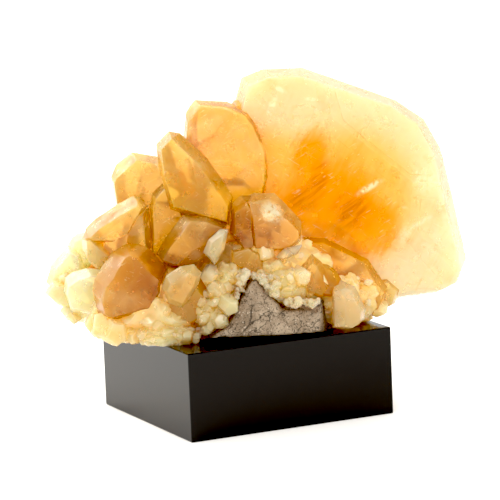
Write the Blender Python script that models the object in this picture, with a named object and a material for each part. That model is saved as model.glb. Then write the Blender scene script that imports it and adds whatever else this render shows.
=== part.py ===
"""Honey calcite: a cluster of flat-faced crystals on a lump of grey matrix rock, on a black display block.

The specimen is drawn in its own millimetre frame: across (to the right of its show side), away (from the
viewer) and up (above the block's top face). It stands turned on the block, whose sides lie along X and Y.
The origin is the middle of the block's underside.
"""

import math
import random

import bmesh
import bpy
from mathutils import Matrix, Vector, noise

# Driving dimensions, in millimetres and degrees
BLOCK_WIDTH = 63.0
BLOCK_DEPTH = 60.0
BLOCK_HEIGHT = 25.0
BLOCK_BEVEL = 0.35
SPECIMEN_TURN = -25.4
CONTACT_GAP = 0.3
ROCK_CLEARANCE = 0.45
SMALLEST_STEP = 0.0005
CUT_TOLERANCE = 1e-5
CORNER_MERGE = 0.02
CUBE_REACH = 3
SLAB_SIDE = 300.0
SLAB_DEPTH = 40.0
MM = 0.001

# The crust's knobs, as shares of a lump's half widths, and its small crystals
LUMP_DETAIL = 2
NOISE_SHIFT = 0.37
BROAD_SWELLS = 2.3
FINE_SWELLS = 5.1
SWELL = 0.13
DRUSE_SEED = 41
SCATTERED_DRUSE = (60, 1.4, 3.2)
DRUSE_ASKEW = 0.45
DRUSE_SPREAD = (-0.5, 0.5)
DRUSE_RISE = (-0.1, 0.8)
DRUSE_SLENDERNESS = (2.4, 3.4)
DRUSE_SQUASH = (0.65, 1.25)
DRUSE_CAP_TILTS = (38, 44.6, 52)
LOWEST_RISE = -0.25
LOWEST_DRUSE = 0.6

HONEY = (0.86, 0.52, 0.17, 1.0)
ROCK_GREY = (0.42, 0.37, 0.32, 1.0)
GLOSS_BLACK = (0.012, 0.010, 0.009, 1.0)


def material(name, colour, roughness, metallic=0.0):
    """A Principled material of one colour."""
    made = bpy.data.materials.new(name)
    made.use_nodes = True
    shader = made.node_tree.nodes["Principled BSDF"]
    shader.inputs["Base Color"].default_value = colour
    shader.inputs["Roughness"].default_value = roughness
    shader.inputs["Metallic"].default_value = metallic
    return made


# Convex solids from planes


def cut_to_planes(planes, middle, reach):
    """The convex solid, as a bmesh, that lies behind every (point, normal) plane, within reach of middle."""
    solid = bmesh.new()
    bmesh.ops.create_cube(solid, size=2 * reach, matrix=Matrix.Translation(middle))
    for point, normal in planes:
        bmesh.ops.bisect_plane(
            solid,
            geom=solid.verts[:] + solid.edges[:] + solid.faces[:],
            dist=CUT_TOLERANCE,
            plane_co=point,
            plane_no=normal,
            clear_outer=True,
        )
        rim = [edge for edge in solid.edges if edge.is_boundary]
        if rim:
            bmesh.ops.contextual_create(solid, geom=rim)
    bmesh.ops.remove_doubles(solid, verts=solid.verts[:], dist=CORNER_MERGE)
    bmesh.ops.recalc_face_normals(solid, faces=solid.faces[:])
    return solid


def outward_edges(outline):
    """(middle of the edge, unit normal pointing out) for each edge of a convex (across, up) outline."""
    centre = sum((Vector(p) for p in outline), Vector((0, 0))) / len(outline)
    for start, end in zip(outline, outline[1:] + outline[:1]):
        start, end = Vector(start), Vector(end)
        along = end - start
        normal = Vector((along.y, -along.x)).normalized()
        middle = (start + end) / 2
        if normal.dot(middle - centre) < 0:
            normal = -normal
        yield middle, normal


def tilted(side, direction, tilt):
    """The normal of a face that looks forward (side -1) or back (side 1), tilted towards a direction."""
    lie, rise = math.radians(direction), math.radians(tilt)
    return Vector((math.cos(lie) * math.sin(rise), side * math.cos(rise), math.sin(lie) * math.sin(rise)))


def crystal(
    outline, away, front, back, caps=(), rim=14, swing=6, phase=0, lean=(0.0, 0.0), back_caps=(), grow=0.0
):
    """A crystal with flat faces, as a bmesh.

    outline is its widest section, seen from the show side, as (across, up) corners, at depth away.
    Each side of it carries a front face and a back face, which lean inwards by rim degrees, more and
    less in turn by swing, three times round, as a trigonal crystal's do. front and back are how far it
    stands out. caps are (across, up, height, direction, tilt): broad faces across the front through a
    point that stands height above the outline's plane, tilted towards a direction; back_caps are the
    same behind. lean slides the crystal in depth by so much for each millimetre across and up. grow
    moves every face outwards.
    """
    centre = sum((Vector(p) for p in outline), Vector((0, 0))) / len(outline)
    planes = []
    for middle, normal in outward_edges(outline):
        turn = 3 * (math.atan2(normal.y, normal.x) - math.radians(phase))
        for side in (-1, 1):
            tilt = math.radians(rim - side * swing * math.cos(turn))
            face = Vector((normal.x * math.cos(tilt), side * math.sin(tilt), normal.y * math.cos(tilt)))
            planes.append((Vector((middle.x, away, middle.y)), face))
    planes.append((Vector((centre.x, away - front, centre.y)), Vector((0, -1, 0))))
    planes.append((Vector((centre.x, away + back, centre.y)), Vector((0, 1, 0))))
    for side, faces in ((-1, caps), (1, back_caps)):
        for across, up, height, direction, tilt in faces:
            planes.append((Vector((across, away + side * height, up)), tilted(side, direction, tilt)))
    planes = [(point + normal * grow, normal) for point, normal in planes]
    reach = CUBE_REACH * max((Vector(p) - centre).length for p in outline)
    solid = cut_to_planes(planes, Vector((centre.x, away, centre.y)), reach)
    for vertex in solid.verts:
        vertex.co.y += lean[0] * (vertex.co.x - centre.x) + lean[1] * (vertex.co.z - centre.y)
    return solid


def small_crystal(radius, length, cap_tilt):
    """A stubby six-sided calcite prism about Z, ended by the three faces of a rhombohedron."""
    planes = []
    for side in range(6):
        turn = math.radians(60 * side)
        normal = Vector((math.cos(turn), math.sin(turn), 0))
        planes.append((normal * radius, normal))
    tilt = math.radians(cap_tilt)
    for end in (1, -1):
        for side in range(3):
            turn = math.radians(120 * side + 60 * (end < 0))
            flat = Vector((math.cos(turn), math.sin(turn), 0))
            face = flat * math.sin(tilt) + Vector((0, 0, end * math.cos(tilt)))
            planes.append((Vector((0, 0, end * length / 2)), face))
    return cut_to_planes(planes, Vector((0, 0, 0)), 2 * (radius + length))


def pointing(direction, spin):
    """The rotation that turns +Z to direction, after a spin about it."""
    return Vector(direction).to_track_quat("Z", "Y").to_matrix().to_4x4() @ Matrix.Rotation(spin, 4, "Z")


# The specimen's crystals


def large_crystal():
    """The great pale blade behind, with the facets of its right and upper edges."""
    outline = [
        (-5, 46), (0, 62.8), (2, 69.4), (8, 71.6), (19.7, 71.5), (45.9, 61), (53.8, 55.2),
        (58.3, 46.9), (64.6, 14.9), (61.9, 8.4), (55.5, 5.4), (40, 4), (6, 8), (-6, 24),
    ]
    caps = [
        (41.5, 46.5, 11.9, 49, 15),
        (52, 30, 11.4, -8, 9),
        (16, 58, 11.6, 105, 9),
        (10, 44, 11.6, 168, 9),
        (38, 22, 11.7, -70, 7),
    ]
    back_caps = [(30, 40, 13.5, 150, 14), (30, 40, 13.5, 20, 17), (30, 40, 13.5, 262, 12)]
    return crystal(
        outline, 9, 12, 15, caps, rim=11, swing=4, phase=20, lean=(0.05, 0.10), back_caps=back_caps
    )


def upper_crystals():
    """The blocks that climb from the middle to the upper left."""
    top = crystal(
        [(-15.5, 52), (-14.1, 61.3), (-12.8, 63.2), (-11.4, 64.7), (-2.4, 63.7), (4.4, 60.4), (6.8, 57),
         (9.2, 50.2), (9.3, 43.2), (6.5, 35), (-1, 29), (-11, 31), (-15.6, 42)],
        0, 8, 13,
        [(-8, 55, 6.8, 118, 12), (-3, 50, 7.4, 12, 7), (-6, 44, 6.9, -80, 10), (5, 50, 6.2, 8, 20)],
        rim=13, phase=10, lean=(0.10, 0.20),
    )
    shoulder = crystal(
        [(-2.6, 61.0), (-0.8, 63.7), (2.3, 63.3), (5.6, 61.2), (7, 57), (4, 46), (-8, 46), (-7, 56)],
        5, 7, 11,
        [(2, 57, 6.2, 70, 14)],
        rim=13, phase=50, lean=(0.10, 0.20),
    )
    front = crystal(
        [(-22.6, 54), (-19, 57.6), (-15.9, 56.8), (-8.8, 49.8), (-3.2, 41), (-1.7, 38.2), (-3.1, 30.3),
         (-7, 31.6), (-19.2, 35.2), (-22.2, 47.5)],
        -10, 8, 13,
        [(-13, 46, 6.4, 155, 6), (-10, 44, 6.4, 38, 9), (-11, 40, 6.4, -62, 8)],
        rim=15, phase=35, lean=(0.10, 0.12),
    )
    left = crystal(
        [(-36.3, 43.3), (-34.7, 46.7), (-30.1, 50.1), (-22.9, 48.8), (-17, 43), (-17, 32), (-26, 28),
         (-35.2, 33)],
        3, 9, 12,
        [(-28, 43, 7, 112, 12), (-27, 39, 7, -60, 9), (-29, 40, 7, 190, 8)],
        rim=15, phase=0, lean=(-0.10, 0.15),
    )
    wedge = crystal(
        [(-25.4, 36), (-24.5, 39.5), (-21.6, 42), (-17.5, 41), (-14.5, 33), (-18, 22), (-25.4, 22)],
        -6, 6, 11,
        [(-22, 36, 5, 60, 10), (-21, 31, 5, -55, 12)],
        rim=13, phase=25, lean=(-0.05, 0.1),
    )
    return [top, shoulder, front, left, wedge]


def left_crystals():
    """The broad block in three steps of growth, and the egg-shaped one below it."""
    upper = crystal(
        [(-44.7, 27.6), (-43.4, 30.9), (-39.3, 34.6), (-34.7, 37), (-30.2, 39.7), (-27.8, 39.1),
         (-25.7, 36.9), (-30.5, 29.6), (-36.4, 26.4), (-42.4, 26.6)],
        -9, 8, 13,
        [(-35, 33, 6.6, 125, 13), (-34, 31, 6.6, -50, 7)],
        rim=14, phase=5, lean=(-0.15, 0.14),
    )
    lower = crystal(
        [(-38.4, 31.4), (-31.5, 35), (-25.4, 36.6), (-25.2, 24.6), (-29, 20), (-37, 19), (-41, 24)],
        -7, 8, 13,
        [(-30, 28, 6.6, -35, 17), (-33, 27, 6.8, 230, 9)],
        rim=12, phase=20, lean=(-0.12, 0.10),
    )
    lobe = crystal(
        [(-44.8, 28), (-41, 30), (-36, 25), (-36.5, 20), (-40, 18.6), (-43.6, 21.6), (-44.8, 24.5)],
        -8, 7.5, 12,
        [(-42, 24, 5.8, 200, 19), (-39, 24, 6, -40, 11)],
        rim=13, phase=40, lean=(-0.15, 0.10),
    )
    egg = crystal(
        [(-42.1, 14.4), (-41.3, 17.8), (-38.6, 22), (-35.9, 25.3), (-32, 27.5), (-28.6, 27.5),
         (-25.7, 26.3), (-20.8, 20.8), (-21.5, 14), (-26.4, 7.2), (-35, 5), (-40.5, 7.2)],
        -19, 10, 14,
        [(-33, 20, 8.6, 105, 14), (-36, 16, 8.3, 190, 17), (-28, 16, 8.3, -5, 16), (-32, 11, 8.3, 265, 15),
         (-28, 21, 8.2, 50, 19), (-38, 21, 8.0, 145, 22)],
        rim=20, phase=40, lean=(-0.12, 0.10),
    )
    return [upper, lower, lobe, egg]


def middle_crystals():
    """The smoky crystal in the centre, the bright-faced one beside it and the chips between them."""
    smoky = crystal(
        [(-15.8, 34.6), (-8.9, 34.2), (-3.4, 31.6), (-4.8, 28), (-10.4, 22.4), (-12.7, 20.4),
         (-18, 19.4), (-21.5, 20.9), (-23.6, 24.3), (-21, 28.6)],
        -16, 9, 14,
        [(-13, 30, 6.8, 100, 12), (-18, 27, 6.6, 165, 13), (-13, 25.4, 7.3, -58, 31), (-9, 30, 6.6, 20, 12)],
        rim=14, phase=20, lean=(0.10, 0.14),
    )
    brown = crystal(
        [(-3, 29), (-2.2, 37.2), (0.4, 39.2), (3.4, 39.2), (5.7, 35.8), (5.5, 26), (1, 23)],
        -15, 7.5, 13,
        [(1, 34, 6.2, 150, 15), (3, 32, 6.2, 15, 9), (2, 29, 6.0, -80, 16)],
        rim=16, phase=10, lean=(0.0, 0.12),
    )
    bright = crystal(
        [(0.5, 38.4), (4.5, 39.6), (10, 39.3), (13.6, 35.4), (17.3, 30.9), (17.1, 25.6), (13.7, 22.6),
         (2, 23.4)],
        -13, 8, 14,
        [(8.8, 35.4, 6.4, 60, 27), (9.8, 33, 7.2, 8, 15), (9, 30, 7.4, -80, 13), (14.6, 31, 6.2, 40, 33)],
        rim=15, phase=50, lean=(0.12, 0.10),
    )
    chip = crystal(
        [(0.6, 36), (1.2, 40), (3.8, 41.2), (6, 39.8), (6.6, 35.5)],
        -4, 3, 4,
        [(3.6, 39, 2.5, 80, 25)],
        rim=25,
    )
    shard = crystal(
        [(-10.6, 25.4), (-9, 28.9), (-5.6, 31.8), (-3.3, 31.6), (-4.6, 26), (-7.4, 21.6)],
        -25, 3, 8,
        [(-6.6, 27, 2.8, 150, 20), (-6.2, 27, 2.8, -30, 24)],
        rim=24, phase=30,
    )
    step = crystal(
        [(-3, 20.6), (-2.7, 25), (2, 26.2), (6, 23.4), (7.2, 19), (3, 17)],
        -19, 4, 9,
        [(0, 23, 3.2, 130, 12), (3, 21, 3.2, -20, 14)],
        rim=17, phase=15, lean=(0.05, 0.12),
    )
    flake = crystal(
        [(9.4, 22.4), (12, 24.8), (17.2, 25.6), (15.6, 23), (11.3, 21.2)],
        -20, 2, 6,
        [(13, 23.6, 1.5, -60, 14)],
        rim=30,
    )
    return [smoky, brown, bright, chip, shard, step, flake]


def base_crystals():
    """The clear bead low in front with the crystal it sits on, and the pale blocks round the rock."""
    bead = crystal(
        [(-22.4, 16.8), (-20.9, 20.1), (-17, 22.3), (-13.1, 22.8), (-11, 20.2), (-12.1, 17),
         (-15.5, 12), (-17.2, 10.9), (-20.6, 12.4)],
        -29, 4.5, 7,
        [(-17, 19, 3.8, 120, 22), (-15, 17, 3.8, 0, 24), (-17, 15, 3.8, -105, 22), (-19, 17, 3.7, 190, 20)],
        rim=26, phase=15, lean=(0.1, 0.1),
    )
    under = crystal(
        [(-27.2, 10.4), (-24.4, 16.8), (-20.3, 20.9), (-13, 20), (-10, 15), (-9, 8), (-14, 4), (-25, 4)],
        -22, 5, 10,
        [(-20, 12, 4.6, 150, 12), (-15, 11, 4.6, -20, 12)],
        rim=22, phase=45,
    )
    corner = crystal(
        [(24.6, 1.2), (24.7, 11.8), (25.4, 13.8), (27.8, 14.4), (31.6, 12.4), (34.4, 6), (33.8, 3),
         (29.4, 0.4)],
        -17, 6, 11,
        [(27.5, 9, 5, 175, 15), (30, 8, 5, -5, 12), (30, 10, 5, 55, 15)],
        rim=15, phase=0, lean=(0.1, 0.1),
    )
    fan = crystal(
        [(16.3, 19), (19.7, 22.4), (22.4, 20), (24.4, 13.6), (22, 10), (17.4, 11.5)],
        -18, 4.5, 10,
        [(19, 18, 3.6, 160, 14), (21, 16, 3.6, -10, 20)],
        rim=18, phase=30, lean=(0.05, 0.15),
    )
    flame = crystal(
        [(21, 18.6), (22.4, 19.8), (26, 17.4), (28.8, 13), (25.2, 9.4), (21.4, 10)],
        -15, 4.5, 9,
        [(24, 15, 3.6, 50, 18), (25, 12, 3.6, -60, 14)],
        rim=18, phase=0, lean=(0.05, 0.15),
    )
    ledge = crystal(
        [(14, 20), (17.4, 25.6), (24, 24.8), (35.8, 18.2), (41, 10), (38, 2.5), (28, 2), (18, 8)],
        -7, 6, 14,
        [(26, 18, 5.2, 60, 19), (28, 12, 5.4, -70, 12), (20, 16, 5.6, 190, 10)],
        rim=16, phase=20, lean=(0.1, 0.1),
    )
    toe = crystal(
        [(33, 6), (36, 12), (41, 12.5), (45, 8.5), (43.2, 4.4), (36.6, 1.4)],
        -2, 5, 10,
        [(39, 8, 4, 120, 18), (40, 7, 4, -40, 16)],
        rim=18, phase=0,
    )
    return [bead, under, corner, fan, flame, ledge, toe]


def pale_crystals():
    """The very pale blocks that overhang the left side."""
    shapes = [
        ([(-51, 12.6), (-50.2, 16.4), (-48.1, 17.9), (-44, 19), (-38, 18), (-37, 8), (-41, 4.6),
          (-48.8, 6.3)],
         -6, 8, 12, [(-46, 14, 6, 140, 15), (-43, 12, 6, 20, 10), (-45, 9, 6, -95, 15)], 10),
        ([(-56.4, 13.2), (-54.6, 18.4), (-49.6, 23.8), (-45, 22), (-43, 14), (-50, 8.6)],
         4, 6, 9, [(-50, 16, 5, 140, 14), (-49, 15, 5, -60, 12)], 30),
        ([(-51.5, 21), (-47.9, 26.6), (-45, 27.3), (-40, 25), (-40, 15), (-47, 14)],
         6, 6, 9, [(-45, 21, 5, 120, 13), (-44, 20, 5, -30, 14)], 0),
        ([(-56.7, 11.4), (-54.3, 14.6), (-48, 14), (-47, 7), (-52.5, 7.4)],
         -1, 5, 7, [(-52, 11, 4, 150, 18), (-51, 10, 4, -50, 15)], 50),
        ([(-52.5, 5.6), (-49, 11), (-42, 10), (-38, 4), (-42.5, 1.2), (-50.8, 3.2)],
         0, 7, 9, [(-46, 6, 5, 110, 18), (-46, 5, 5, -90, 15)], 20),
    ]
    return [
        crystal(outline, away, front, back, caps, rim=17, phase=phase, lean=(-0.15, 0.05))
        for outline, away, front, back, caps, phase in shapes
    ]


def rear_crystals():
    """The blocks on the side turned away from the viewer."""
    shapes = [
        ([(-35, 19), (-33, 30), (-26, 35), (-16, 33), (-13, 23), (-20, 14), (-31, 13)],
         13, 6, 12, [(-24, 27, 9.5, 110, 16), (-24, 23, 9.5, -60, 14), (-29, 24, 9.5, 190, 20)], 0),
        ([(-15, 25), (-14, 37), (-8, 42), (0, 41), (5, 34), (3, 25), (-6, 20)],
         14, 6, 13, [(-5, 34, 10, 80, 18), (-5, 29, 10, -110, 15), (-2, 32, 10, 0, 17)], 25),
        ([(2, 15), (4, 27), (10, 31), (17, 28), (20, 18), (13, 10)],
         16, 5, 11, [(10, 24, 8.5, 100, 15), (11, 19, 8.5, -70, 16)], 10),
        ([(-47, 10), (-46, 18), (-41, 22), (-33, 21), (-30, 13), (-36, 6)],
         7, 6, 12, [(-40, 16, 9, 130, 20), (-38, 13, 9, -50, 16)], 40),
        ([(-25, 9), (-25, 18), (-18, 24), (-9, 22), (-6, 13), (-13, 7)],
         17, 5, 9, [(-16, 18, 7, 70, 17), (-16, 14, 7, -100, 14), (-20, 16, 7, 180, 16)], 15),
        ([(-31, 33), (-29, 43), (-23, 46), (-16, 44), (-12, 35), (-20, 30)],
         8, 5, 11, [(-22, 40, 8.5, 95, 16), (-22, 36, 8.5, -80, 15)], 5),
        ([(18, 9), (18, 18), (24, 22), (31, 18), (34, 11), (27, 6)],
         15, 5, 9, [(24, 16, 7, 80, 18), (26, 12, 7, -40, 15)], 30),
        ([(-14, 41), (-12, 51), (-6, 54), (1, 52), (5, 44), (-4, 38)],
         8, 5, 10, [(-5, 48, 8, 100, 15), (-4, 44, 8, -60, 16)], 45),
    ]
    return [
        crystal(outline, away, front, back, (), rim=15, phase=phase, lean=(0.0, -0.15), back_caps=back_caps)
        for outline, away, front, back, back_caps, phase in shapes
    ]


# The massive crust that the crystals grow from, and the small crystals on it

CRUST_LUMPS = [
    # (across, away, up) of the middle, and the half widths
    ((-24, -9, 8), (17, 19, 11)),
    ((6, -7, 14), (21, 16, 12.5)),
    ((-10, 5, 22), (24, 14, 17)),
    ((27, -3, 8), (12.5, 15, 9)),
    ((-41, 1, 10), (9, 10, 7.5)),
    ((14, 12, 16), (22, 12, 14)),
    ((-31.5, -15, 4.5), (10, 10, 5.5)),
    ((-21.5, -21.5, 2.4), (8.5, 8, 5)),
    ((-9.5, -21.5, 7.5), (5.5, 5.5, 4.2)),
    ((-6.5, -20.5, 12), (4.5, 6, 6)),
    ((11, -19.5, 14), (8, 6, 5)),
]
DRUSE_PATCHES = [
    # (across, away, up) of the middle, half widths, how many, smallest and largest radius, side they face
    ((2, -17.5, 24), (6, 2, 2.5), 7, 1.5, 2.6, -1),
    ((-6.5, -23, 15.5), (3, 2, 4), 14, 1.0, 2.3, -1),
    ((-9, -25, 7.5), (3, 2, 4), 10, 0.9, 2.0, -1),
    ((13, -19.5, 14.5), (6, 2, 3.5), 14, 1.2, 2.6, -1),
    ((22, -16, 13), (4, 2, 3.5), 5, 1.2, 2.4, -1),
    ((-27, -22, 3.5), (14, 5, 2.5), 18, 1.0, 2.6, -1),
    ((-48, 0, 12), (6, 6, 8), 12, 1.2, 2.8, -1),
    ((35, -4, 8.5), (5, 5, 4.5), 9, 1.0, 2.4, -1),
    ((17, 23, 13), (11, 3, 6), 12, 1.4, 3.2, 1),
    ((-26, 17, 9), (9, 4, 4), 8, 1.4, 3.0, 1),
    ((-44, 10, 9), (6, 5, 5), 7, 1.2, 2.6, 1),
]


def crust_lump(middle, half_widths):
    """A knobbly low lump of massive calcite."""
    lump = bmesh.new()
    bmesh.ops.create_icosphere(lump, subdivisions=LUMP_DETAIL, radius=1.0)
    shift = Vector(middle) * NOISE_SHIFT
    for vertex in lump.verts:
        broad = noise.noise(vertex.co * BROAD_SWELLS + shift)
        fine = noise.noise(vertex.co * FINE_SWELLS - shift)
        swell = 1 + SWELL * (broad + fine / 2)
        vertex.co = Vector(middle) + Vector([s * w * swell for s, w in zip(vertex.co, half_widths)])
    return lump


def druse_crystal(dice, place, outward, radius):
    """One small crystal that stands out of the crust, a little askew and seldom equal all round."""
    spread = Vector([dice.uniform(-DRUSE_ASKEW, DRUSE_ASKEW) for _ in range(3)])
    solid = small_crystal(radius, radius * dice.uniform(*DRUSE_SLENDERNESS), dice.choice(DRUSE_CAP_TILTS))
    squash = Matrix.Diagonal((dice.uniform(*DRUSE_SQUASH), dice.uniform(*DRUSE_SQUASH), 1, 1))
    solid.transform(Matrix.Translation(place) @ pointing(outward + spread, dice.uniform(0, math.pi)) @ squash)
    return solid


def scattered_druse(dice, how_many, smallest, largest):
    """Small crystals at places drawn round the crust's lumps."""
    made = []
    while len(made) < how_many:
        middle, half_widths = dice.choice(CRUST_LUMPS)
        turn, rise = dice.uniform(0, 2 * math.pi), dice.uniform(LOWEST_RISE, 1.0)
        flat = math.sqrt(max(0.0, 1 - rise * rise))
        ray = Vector((flat * math.cos(turn), flat * math.sin(turn), rise))
        place = Vector(middle) + Vector([r * w for r, w in zip(ray, half_widths)])
        outward = Vector([r / w for r, w in zip(ray, half_widths)]).normalized()
        radius = smallest + (largest - smallest) * dice.random() ** 2
        if place.z > LOWEST_DRUSE + radius:
            made.append(druse_crystal(dice, place, outward, radius))
    return made


def patches_of_druse(dice):
    """The clusters of small crystals that show round the rock and along the edges."""
    made = []
    for middle, half_widths, how_many, smallest, largest, side in DRUSE_PATCHES:
        for _ in range(how_many):
            place = Vector([m + w * dice.uniform(-1, 1) for m, w in zip(middle, half_widths)])
            outward = Vector((dice.uniform(*DRUSE_SPREAD), side, dice.uniform(*DRUSE_RISE)))
            made.append(druse_crystal(dice, place, outward, dice.uniform(smallest, largest)))
    return made


# The matrix rock

ROCK_CHUNKS = [
    # outline, depth, how far it reaches forward and back, caps in front, caps behind, lean
    ([(-15, 0.3), (-10.5, 3.6), (-4.6, 6.8), (2, 7.2), (6, 0.3), (6, -8), (-19, -8)],
     -16, 12, 14,
     [(-6, 3, 11.6, 150, 12), (-2, 3, 11.8, 70, 14), (-6, 1.7, 11.4, -90, 76)], [], (0.18, 0.0)),
    ([(-5.2, -8), (-4.6, 6.8), (-2.2, 12), (0.4, 16.8), (2.2, 18.9), (5.6, 16.6), (8, 13.8),
      (12.4, 8.4), (14, -8)],
     -14, 12.4, 20,
     [(2, 9, 12, 165, 11), (5, 9, 12.2, 20, 9), (3, 13, 12, 85, 12), (4, 1.5, 12, -90, 74)],
     [], (0.12, 0.05)),
    ([(4, -8), (5, 9.4), (12.4, 9.8), (18, 9.3), (22, 8.6), (22, -8)],
     -12, 13.4, 20,
     [(12, 5, 13.3, 100, 10), (18, 4, 13.3, 10, 6), (14, 1.3, 13.1, -90, 77)], [], (0.12, 0.0)),
    ([(12, -8), (16.6, 8.6), (22.8, 10.9), (24, 9.8), (24.4, -8)],
     -11, 13.3, 18, [(20, 6, 13.2, 60, 8), (21, 3, 13.2, -20, 5), (20, 1.5, 13, -90, 75)], [], (0.1, 0.0)),
    ([(-34, -8), (-33, 7), (-28, 12), (-16, 15.5), (-6, 14), (0, 8), (0, -8)],
     4, 14, 14, [], [(-20, 8, 13, 125, 20), (-14, 6, 13, 30, 16), (-24, 4, 13, 215, 18)], (0.0, -0.1)),
    ([(-15, -8), (-14, 14), (-6, 19), (4, 19.5), (14, 15), (17, 8), (17, -8)],
     6, 18, 15, [], [(-3, 11, 14, 100, 19), (4, 9, 14, 20, 17), (-8, 8, 14, 190, 15)], (0.05, -0.1)),
    ([(2, -8), (5, 12), (14, 15.5), (24, 12), (28, 5), (28, -8)],
     2, 15, 13, [], [(14, 8, 12, 70, 18), (20, 5, 12, -10, 18)], (-0.05, -0.1)),
]


def rock(grow=0.0):
    """The broken chunks that make the lump of rock. grow moves their faces out, to cut its place."""
    return [
        crystal(outline, away, front, back, caps, rim=8, swing=5, lean=lean, back_caps=back_caps, grow=grow)
        for outline, away, front, back, caps, back_caps, lean in ROCK_CHUNKS
    ]


# Joining solids


def as_object(name, solids):
    """One object that holds every solid's faces."""
    mesh = bpy.data.meshes.new(name)
    joined = bmesh.new()
    for solid in solids:
        piece = bpy.data.meshes.new("piece")
        solid.to_mesh(piece)
        solid.free()
        joined.from_mesh(piece)
        bpy.data.meshes.remove(piece)
    joined.to_mesh(mesh)
    joined.free()
    made = bpy.data.objects.new(name, mesh)
    bpy.context.scene.collection.objects.link(made)
    return made


def apply_boolean(target, cutter, operation):
    """Joins or cuts target with cutter, exactly, and removes the cutter."""
    change = target.modifiers.new("join", "BOOLEAN")
    change.operation = operation
    change.object = cutter
    change.solver = "EXACT"
    change.use_self = True
    graph = bpy.context.evaluated_depsgraph_get()
    result = bpy.data.meshes.new_from_object(target.evaluated_get(graph))
    target.modifiers.clear()
    old, target.data = target.data, result
    bpy.data.meshes.remove(old)
    bpy.data.objects.remove(cutter)


def above_block(target):
    """Cuts off what would reach into the block's top face."""
    slab = bmesh.new()
    bmesh.ops.create_cube(slab, size=1.0)
    bmesh.ops.scale(slab, vec=(SLAB_SIDE, SLAB_SIDE, SLAB_DEPTH), verts=slab.verts[:])
    bmesh.ops.translate(slab, vec=(0, 0, CONTACT_GAP - SLAB_DEPTH / 2), verts=slab.verts[:])
    apply_boolean(target, as_object("slab", [slab]), "DIFFERENCE")


def tidy(target):
    """Triangulates, drops slivers and keeps the largest closed body."""
    mesh = bmesh.new()
    mesh.from_mesh(target.data)
    bmesh.ops.remove_doubles(mesh, verts=mesh.verts[:], dist=SMALLEST_STEP)
    bmesh.ops.dissolve_degenerate(mesh, edges=mesh.edges[:], dist=SMALLEST_STEP)
    bmesh.ops.triangulate(mesh, faces=mesh.faces[:])
    remaining, bodies = set(mesh.verts), []
    while remaining:
        body, edge_of_search = set(), [remaining.pop()]
        while edge_of_search:
            vertex = edge_of_search.pop()
            body.add(vertex)
            for edge in vertex.link_edges:
                other = edge.other_vert(vertex)
                if other in remaining:
                    remaining.discard(other)
                    edge_of_search.append(other)
        bodies.append(body)
    largest = max(bodies, key=len)
    bmesh.ops.delete(mesh, geom=[v for v in mesh.verts if v not in largest], context="VERTS")
    bmesh.ops.recalc_face_normals(mesh, faces=mesh.faces[:])
    mesh.to_mesh(target.data)
    mesh.free()


def place(target, finish):
    """Turns the specimen on the block, lifts it onto the top face and gives it its real size."""
    turn = Matrix.Rotation(math.radians(SPECIMEN_TURN), 4, "Z")
    lift = Matrix.Translation((0, 0, BLOCK_HEIGHT))
    target.data.transform(Matrix.Scale(MM, 4) @ lift @ turn)
    target.data.materials.clear()
    target.data.materials.append(finish)


# The nodes


def display_block():
    """The gloss black block, with fine bevels."""
    solid = bmesh.new()
    bmesh.ops.create_cube(solid, size=1.0)
    bmesh.ops.scale(solid, vec=(BLOCK_WIDTH * MM, BLOCK_DEPTH * MM, BLOCK_HEIGHT * MM), verts=solid.verts[:])
    bmesh.ops.translate(solid, vec=(0, 0, BLOCK_HEIGHT * MM / 2), verts=solid.verts[:])
    block = as_object("display_block", [solid])
    bevel = block.modifiers.new("edges", "BEVEL")
    bevel.width = BLOCK_BEVEL * MM
    bevel.segments = 2
    block.data.materials.append(material("gloss_black", GLOSS_BLACK, 0.12))


def matrix_rock():
    """The grey rock under the crystals."""
    chunks = rock()
    node = as_object("matrix_rock", chunks[:1])
    apply_boolean(node, as_object("chunks", chunks[1:]), "UNION")
    above_block(node)
    tidy(node)
    place(node, material("grey_rock", ROCK_GREY, 0.9))


def calcite_crystals():
    """All the calcite: crystals, crust and druse grown together in one solid."""
    dice = random.Random(DRUSE_SEED)
    grown = [large_crystal()]
    grown += upper_crystals() + left_crystals() + middle_crystals() + base_crystals() + pale_crystals()
    grown += rear_crystals() + scattered_druse(dice, *SCATTERED_DRUSE) + patches_of_druse(dice)
    lumps = [crust_lump(middle, half_widths) for middle, half_widths in CRUST_LUMPS]
    node = as_object("calcite_crystals", grown)
    apply_boolean(node, as_object("lumps", lumps), "UNION")
    above_block(node)
    apply_boolean(node, as_object("rock_place", rock(ROCK_CLEARANCE)), "DIFFERENCE")
    tidy(node)
    place(node, material("honey_calcite", HONEY, 0.25))


def main():
    for old in list(bpy.data.objects):
        bpy.data.objects.remove(old)
    display_block()
    matrix_rock()
    calcite_crystals()


main()
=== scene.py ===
"""The looks of a honey calcite specimen: clear and cloudy crystals on a grey rock, on a gloss black block.

The specimen is drawn in its own millimetre frame: across (to the right of its show side), away (from the
viewer) and up (above the block's top face). It is turned on the block, lifted to its top and put in metres.
"""

import random
from math import atan2, cos, pi, radians, sin, sqrt

import bmesh
import bpy
from mathutils import Matrix, Vector, noise


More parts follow.
